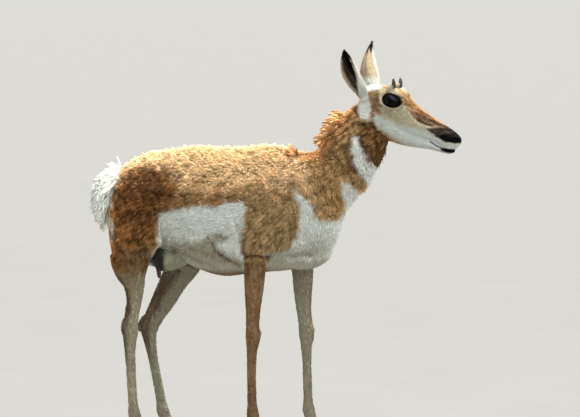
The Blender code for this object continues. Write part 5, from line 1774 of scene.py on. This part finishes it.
def ear_with_hair(side, seed):
    notes = []
    ear = as_object(f"ear_{side}_skin", ear_shape(side, notes))
    mesh = ear.data
    notes = np.array(notes)
    share, edge, wall = notes.T
    coloured(mesh, ear_colours(notes, side))
    root, tip = (Vector(place) for place in EARS[side][:2])
    normals = normals_of(mesh)
    lie = np.tile(np.array((tip - root).normalized()), (len(notes), 1))
    lie -= normals * np.sum(lie * normals, axis=1)[:, None]
    inner = wall > 0.5
    long = np.where(inner, 0.0150, 0.0085) * (1 - 0.45 * share)
    rise = np.where(inner, 0.0030, 0.0014)
    rise = np.where(inner & (np.abs(edge) > 0.80), 0.0055, rise)
    wide = np.full(len(notes), 0.0011)
    count = np.where(inner, 130000.0, 220000.0) * (share > 0.06) * (share < 0.985)
    combed(mesh, lie, (long, wide, rise), count)

    def roll(spots, zone):
        if len(spots) == len(mesh.polygons):
            picked = notes[[p.vertices[0] for p in mesh.polygons]]
        else:
            loops = np.empty(len(mesh.loops), np.int32)
            mesh.loops.foreach_get("vertex_index", loops)
            picked = notes[loops]
        return picked[:, 0], picked[:, 1] * 0.6 + picked[:, 2] * 1.3

    unwrapped(mesh, one_zone, roll, one_tile)
    mesh.materials.append(ear_fur)
    mesh.shade_smooth()
    coat.append(laid_coat(f"coat_ear_{side}", ear, Seed=seed, Unrest=0.25))
    return ear


ears = [ear_with_hair("right", 61), ear_with_hair("left", 62)]

# %% [markdown]
# ## Tail and udder
#
# The tail is short and lies over the rump, white with long hair on all sides. The doe was in
# milk, so the udder hangs below the groin: dull, nearly bare skin, dark behind and pale ahead,
# its dark skin deepened by painted shade.

# %% Tail
def tail_core():
    middle = (TAIL_ROOT + TAIL_TIP) / 2 + Vector((-0.015, 0, 0.012))
    path = [Vector(p[:3]) for p in through([TAIL_ROOT, middle, TAIL_TIP], 25)]
    sizes = np.interp(np.linspace(0, 1, 25), (0, 0.5, 0.85, 1), (0.011, 0.0125, 0.0095, 0.003))
    return as_object("tail_skin", tube(path, list(sizes), 20))


tail = tail_core()
points = points_of(tail.data)
normals = normals_of(tail.data)
tail_colour = np.tile(COLOURS["white"], (len(points), 1))
coloured(tail.data, tail_colour)
way = np.tile(np.array((TAIL_TIP - TAIL_ROOT).normalized()), (len(points), 1))
way[:, 1] += points[:, 1] * 12
way -= normals * np.sum(way * normals, axis=1)[:, None]
spread = np.full(len(points), 120000.0)
combed(tail.data, way, (np.full(len(points), 0.036), np.full(len(points), 0.0030), np.full(len(points), 0.013)), spread)


def tail_roll(spots, zone):
    return spots[:, 2], np.arctan2(spots[:, 1], -(spots[:, 0] + 0.47)) * 0.5


unwrapped(tail.data, one_zone, tail_roll, one_tile)
tail.data.materials.append(skin_fur)
coat.append(laid_coat("hair_tail", tail, Seed=71, **long_look))


# %% Udder
TEATS = (
    # ahead of the udder's middle, side, length
    (-0.024, -1, 0.031),
    (0.007, -1, 0.033),
    (-0.006, 1, 0.024),
    (0.032, 1, 0.020),
)


def udder_shape():
    x, y, z = UDDER_PLACE
    made = [
        mass((x, y, z), (0.0475, 0.0465, 0.0425), pitch=-8),
        mass((x - 0.020, y, z + 0.012), (0.0395, 0.0435, 0.0395)),
        mass((x + 0.034, y, z + 0.007), (0.036, 0.040, 0.036)),
    ]
    for along, side, long in TEATS:
        root = Vector((x + along, side * 0.024, z - 0.026))
        way = Vector((0.10, side * 0.20, -1)).normalized()
        path = [root + way * (long * t) for t in (0, 0.45, 0.8, 1.0, 1.1)]
        made.append(tube(path, [0.0085, 0.0070, 0.0062, 0.0050, 0.0025], 14))
    body = as_object("udder_skin", gathered(made))
    remeshed(body, 0.0017)
    return softened(body, 12)


udder = udder_shape()
points = points_of(udder.data)
# share: 0 on the udder's dark rear, dark skin with painted shade, 1 on its pale front
share = eased(points[:, 0] + 0.0015 * ripple(points, 0.015, 42), -0.330, -0.316)
udder_colour = linear((26, 25, 19)) + (linear((146, 144, 118)) - linear((26, 25, 19))) * share[:, None]
teat = np.zeros(len(points))
for along, side, _ in TEATS:
    below = np.maximum(UDDER_PLACE[2] - 0.026 - points[:, 2], 0)
    off = points[:, 0] - UDDER_PLACE[0] - along - 0.10 * below
    away = points[:, 1] - UDDER_PLACE[1] - side * (0.024 + 0.20 * below)
    teat = np.maximum(teat, (1 - eased(np.hypot(off, away), 0.0085, 0.0120)) * eased(below, 0.006, 0.014))
teat = teat[:, None]
udder_colour += (linear((74, 48, 36)) - udder_colour) * teat
udder_colour *= (1 + 0.12 * ripple(points, 0.02, 41))[:, None]
coloured(udder.data, udder_colour)
udder_paint = Paint("udder_skin", Roughness=0.62)
pores = udder_paint.noise(udder_paint.place(), 260.0, 2.0)
veins = udder_paint.noise(udder_paint.place(), 38.0, 2.0)
udder_paint.feed(Base_Color=udder_paint.scaled(udder_paint.read("coat"), pores * 0.3 + 0.85))
udder_paint.bumped(pores * 0.5 + veins, 0.0012)
udder.data.materials.append(udder_paint.material)
udder.data.shade_smooth()

# %% [markdown]
# ## Eyes, horns and hooves
#
# The eye is very large and black, wet enough to mirror the light. The doe's horns are small
# black spikes with faint rings at the root. Each foot stands on two pointed toes, and each toe
# is a wedge of dark horn with a flat sole.

# %% Eyes
eye_paint = Paint("wet_eye", Roughness=0.05)
eye_paint.shader.inputs["Specular IOR Level"].default_value = 0.06
eye_paint.feed(Base_Color=eye_paint.read("coat"))


def eye_shape(side):
    shape = bmesh.new()
    bmesh.ops.create_uvsphere(shape, u_segments=64, v_segments=40, radius=EYE_RADIUS - 0.0006)
    shape.transform(Matrix.Rotation(math.pi / 2, 4, "X"))
    for vertex in shape.verts:
        out = vertex.co.y * side / EYE_RADIUS
        vertex.co.y += side * 0.0022 * max(out - 0.80, 0) / 0.20
    return shape


def eye_object(side, name):
    shape = eye_shape(side)
    made = as_object(name, shape)
    points = points_of(made.data)
    far = np.hypot(points[:, 0] / 0.0150, points[:, 2] / 0.0105)
    iris = eased(far, 0.60, 0.75) * (1 - eased(np.hypot(points[:, 0], points[:, 2]), 0.0165, 0.0190))
    # sky: a bluish band near the top of the eye's colour, a painted reflection of the sky
    sky = 1 - eased(np.abs(points[:, 2] - 0.0092 + 0.12 * points[:, 0]), 0.0018, 0.0052)
    sky *= 1 - eased(np.abs(points[:, 0] - 0.002), 0.007, 0.017)
    colour = np.tile((0.0006, 0.0006, 0.0009), (len(points), 1))
    colour += iris[:, None] * np.array([0.0036, 0.0018, 0.0009])
    colour += sky[:, None] * np.array([0.0200, 0.0270, 0.0480])
    coloured(made.data, colour)
    made.data.transform(HEAD @ Matrix.Translation((EYE_PLACE.x, side * EYE_PLACE.y, EYE_PLACE.z)))
    made.data.materials.append(eye_paint.material)
    made.data.shade_smooth()
    return made


eyes = [eye_object(side, f"wet_eye_{word}") for side, word in ((-1, "right"), (1, "left"))]

# %% Horns
horn_paint = Paint("black_horn", Roughness=0.42)
growth = horn_paint.noise(horn_paint.place((1, 1, 7)), 42.0, 3.0)
horn_paint.feed(Base_Color=horn_paint.between(growth, (0.012, 0.010, 0.009), (0.060, 0.048, 0.038)))
horn_paint.bumped(growth, 0.0006)


def horn_shape(side):
    """A short spike that leans a little out and back, with rings that fade towards the tip."""
    root = Vector((HORN_PLACE.x, side * HORN_PLACE.y, HORN_PLACE.z))
    lean = Vector((-0.32, side * 0.16, 1)).normalized()
    bow = Vector((0.004, 0, 0))
    steps = np.linspace(0, 1, 40)
    sizes = np.interp(steps, (0, 0.35, 0.70, 0.92, 1.0), (1.05, 0.96, 0.70, 0.40, 0.12))
    sizes = sizes * (HORN_RADIUS - 0.0003) + 0.00022 * np.sin(steps * 60) * (1 - steps)
    path = [root + lean * (HORN_LENGTH * t) + bow * math.sin(math.pi * t) for t in steps]
    shape = tube(path, list(sizes), 24)
    shape.transform(HEAD)
    return shape


horns = []
for side, word in ((-1, "right"), (1, "left")):
    horn = as_object(f"horn_{word}_sheath", horn_shape(side))
    horn.data.materials.append(horn_paint.material)
    horn.data.shade_smooth()
    horns.append(horn)


# %% Hooves
hoof_paint = Paint("hoof_horn", Roughness=0.5)
ridges = hoof_paint.noise(hoof_paint.place((1, 1, 9)), 30.0, 4.0)
hoof_paint.feed(Base_Color=hoof_paint.between(ridges, (0.018, 0.015, 0.013), (0.085, 0.070, 0.056)))
hoof_paint.bumped(ridges, 0.0008)
TOE_AROUND = 40


def toe_shape(place, out):
    """One toe: a pointed wedge with a flat sole, straight along the cleft, its wall faintly ringed."""
    rings = []
    for level in np.linspace(0, 1, 14):
        z = HOOF_HEIGHT * level
        back = -0.40 * HOOF_LENGTH + 0.004 * level
        front = 0.60 * HOOF_LENGTH - 0.017 * level
        half = TOE_WIDTH * (1 - 0.10 * level) / 2
        proud = -0.0002 - 0.0002 * math.cos(level * 26) * (0 < level < 1)
        ring = []
        for step in range(TOE_AROUND):
            turn = 2 * math.pi * step / TOE_AROUND
            along = math.cos(turn)
            x = (front + back) / 2 + ((front - back) / 2 + proud) * along
            taper = 1 - 0.50 * max(along, 0) ** 2.2 * (1 - 0.4 * level)
            y = (half + proud) * float(power(math.sin(turn), 0.75)) * taper
            inward = half * (1 - taper) * 0.55
            ring.append(Vector((x, out * (half - inward + 0.0012) + y, z)))
        rings.append(ring)
    shape = loft(rings)
    shape.transform(Matrix.Translation((place[0], place[1], 0)))
    return shape


hooves = []
for leg, rows in LEGS.items():
    toes = [toe_shape((rows[-2][0] + 0.004, rows[-2][1]), out) for out in (-1, 1)]
    hoof = as_object(f"{leg}_hoof", gathered(toes))
    hoof.data.materials.append(hoof_paint.material)
    hoof.data.shade_smooth()
    hooves.append(hoof)
print("hooves:", len(hooves), "with two toes each")

# %% [markdown]
# ## Setting each piece on the solids
#
# The last step moves every piece by the same amount as the solids, lets it ride on the model's
# one body, and hides the solids that it stands for.

# %% In place
FLESH = ["head", "neck", "torso"]
for leg in LEGS:
    upper = ("shoulder", "forearm", "knee") if leg.startswith("fore") else ("thigh", "gaskin", "hock")
    FLESH += [f"{leg}_{part}" for part in (*upper, "cannon", "pastern")]


def settled(piece, slot, *nodes):
    piece.data.transform(Matrix.Translation(-BOX_MIDDLE))
    piece.data.update()
    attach(piece, "root")
    if nodes:
        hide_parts(*nodes)


removed(short_tuft, long_tuft)
skin.data.shade_smooth()
settled(skin, "coat", *FLESH)
for piece in coat:
    settled(piece, "coat" if piece.name.startswith("coat") else "pale_coat")
for ear, word in zip(ears, ("right", "left")):
    settled(ear, "pale_coat", f"ear_{word}")
settled(tail, "pale_coat", "tail")
settled(udder, "udder_skin", "udder")
for eye, horn, word in zip(eyes, horns, ("right", "left")):
    settled(eye, "wet_eye", f"eye_{word}")
    settled(horn, "black_horn", f"horn_{word}")
for hoof, leg in zip(hooves, LEGS):
    settled(hoof, "black_horn", f"{leg}_right_toe", f"{leg}_left_toe")
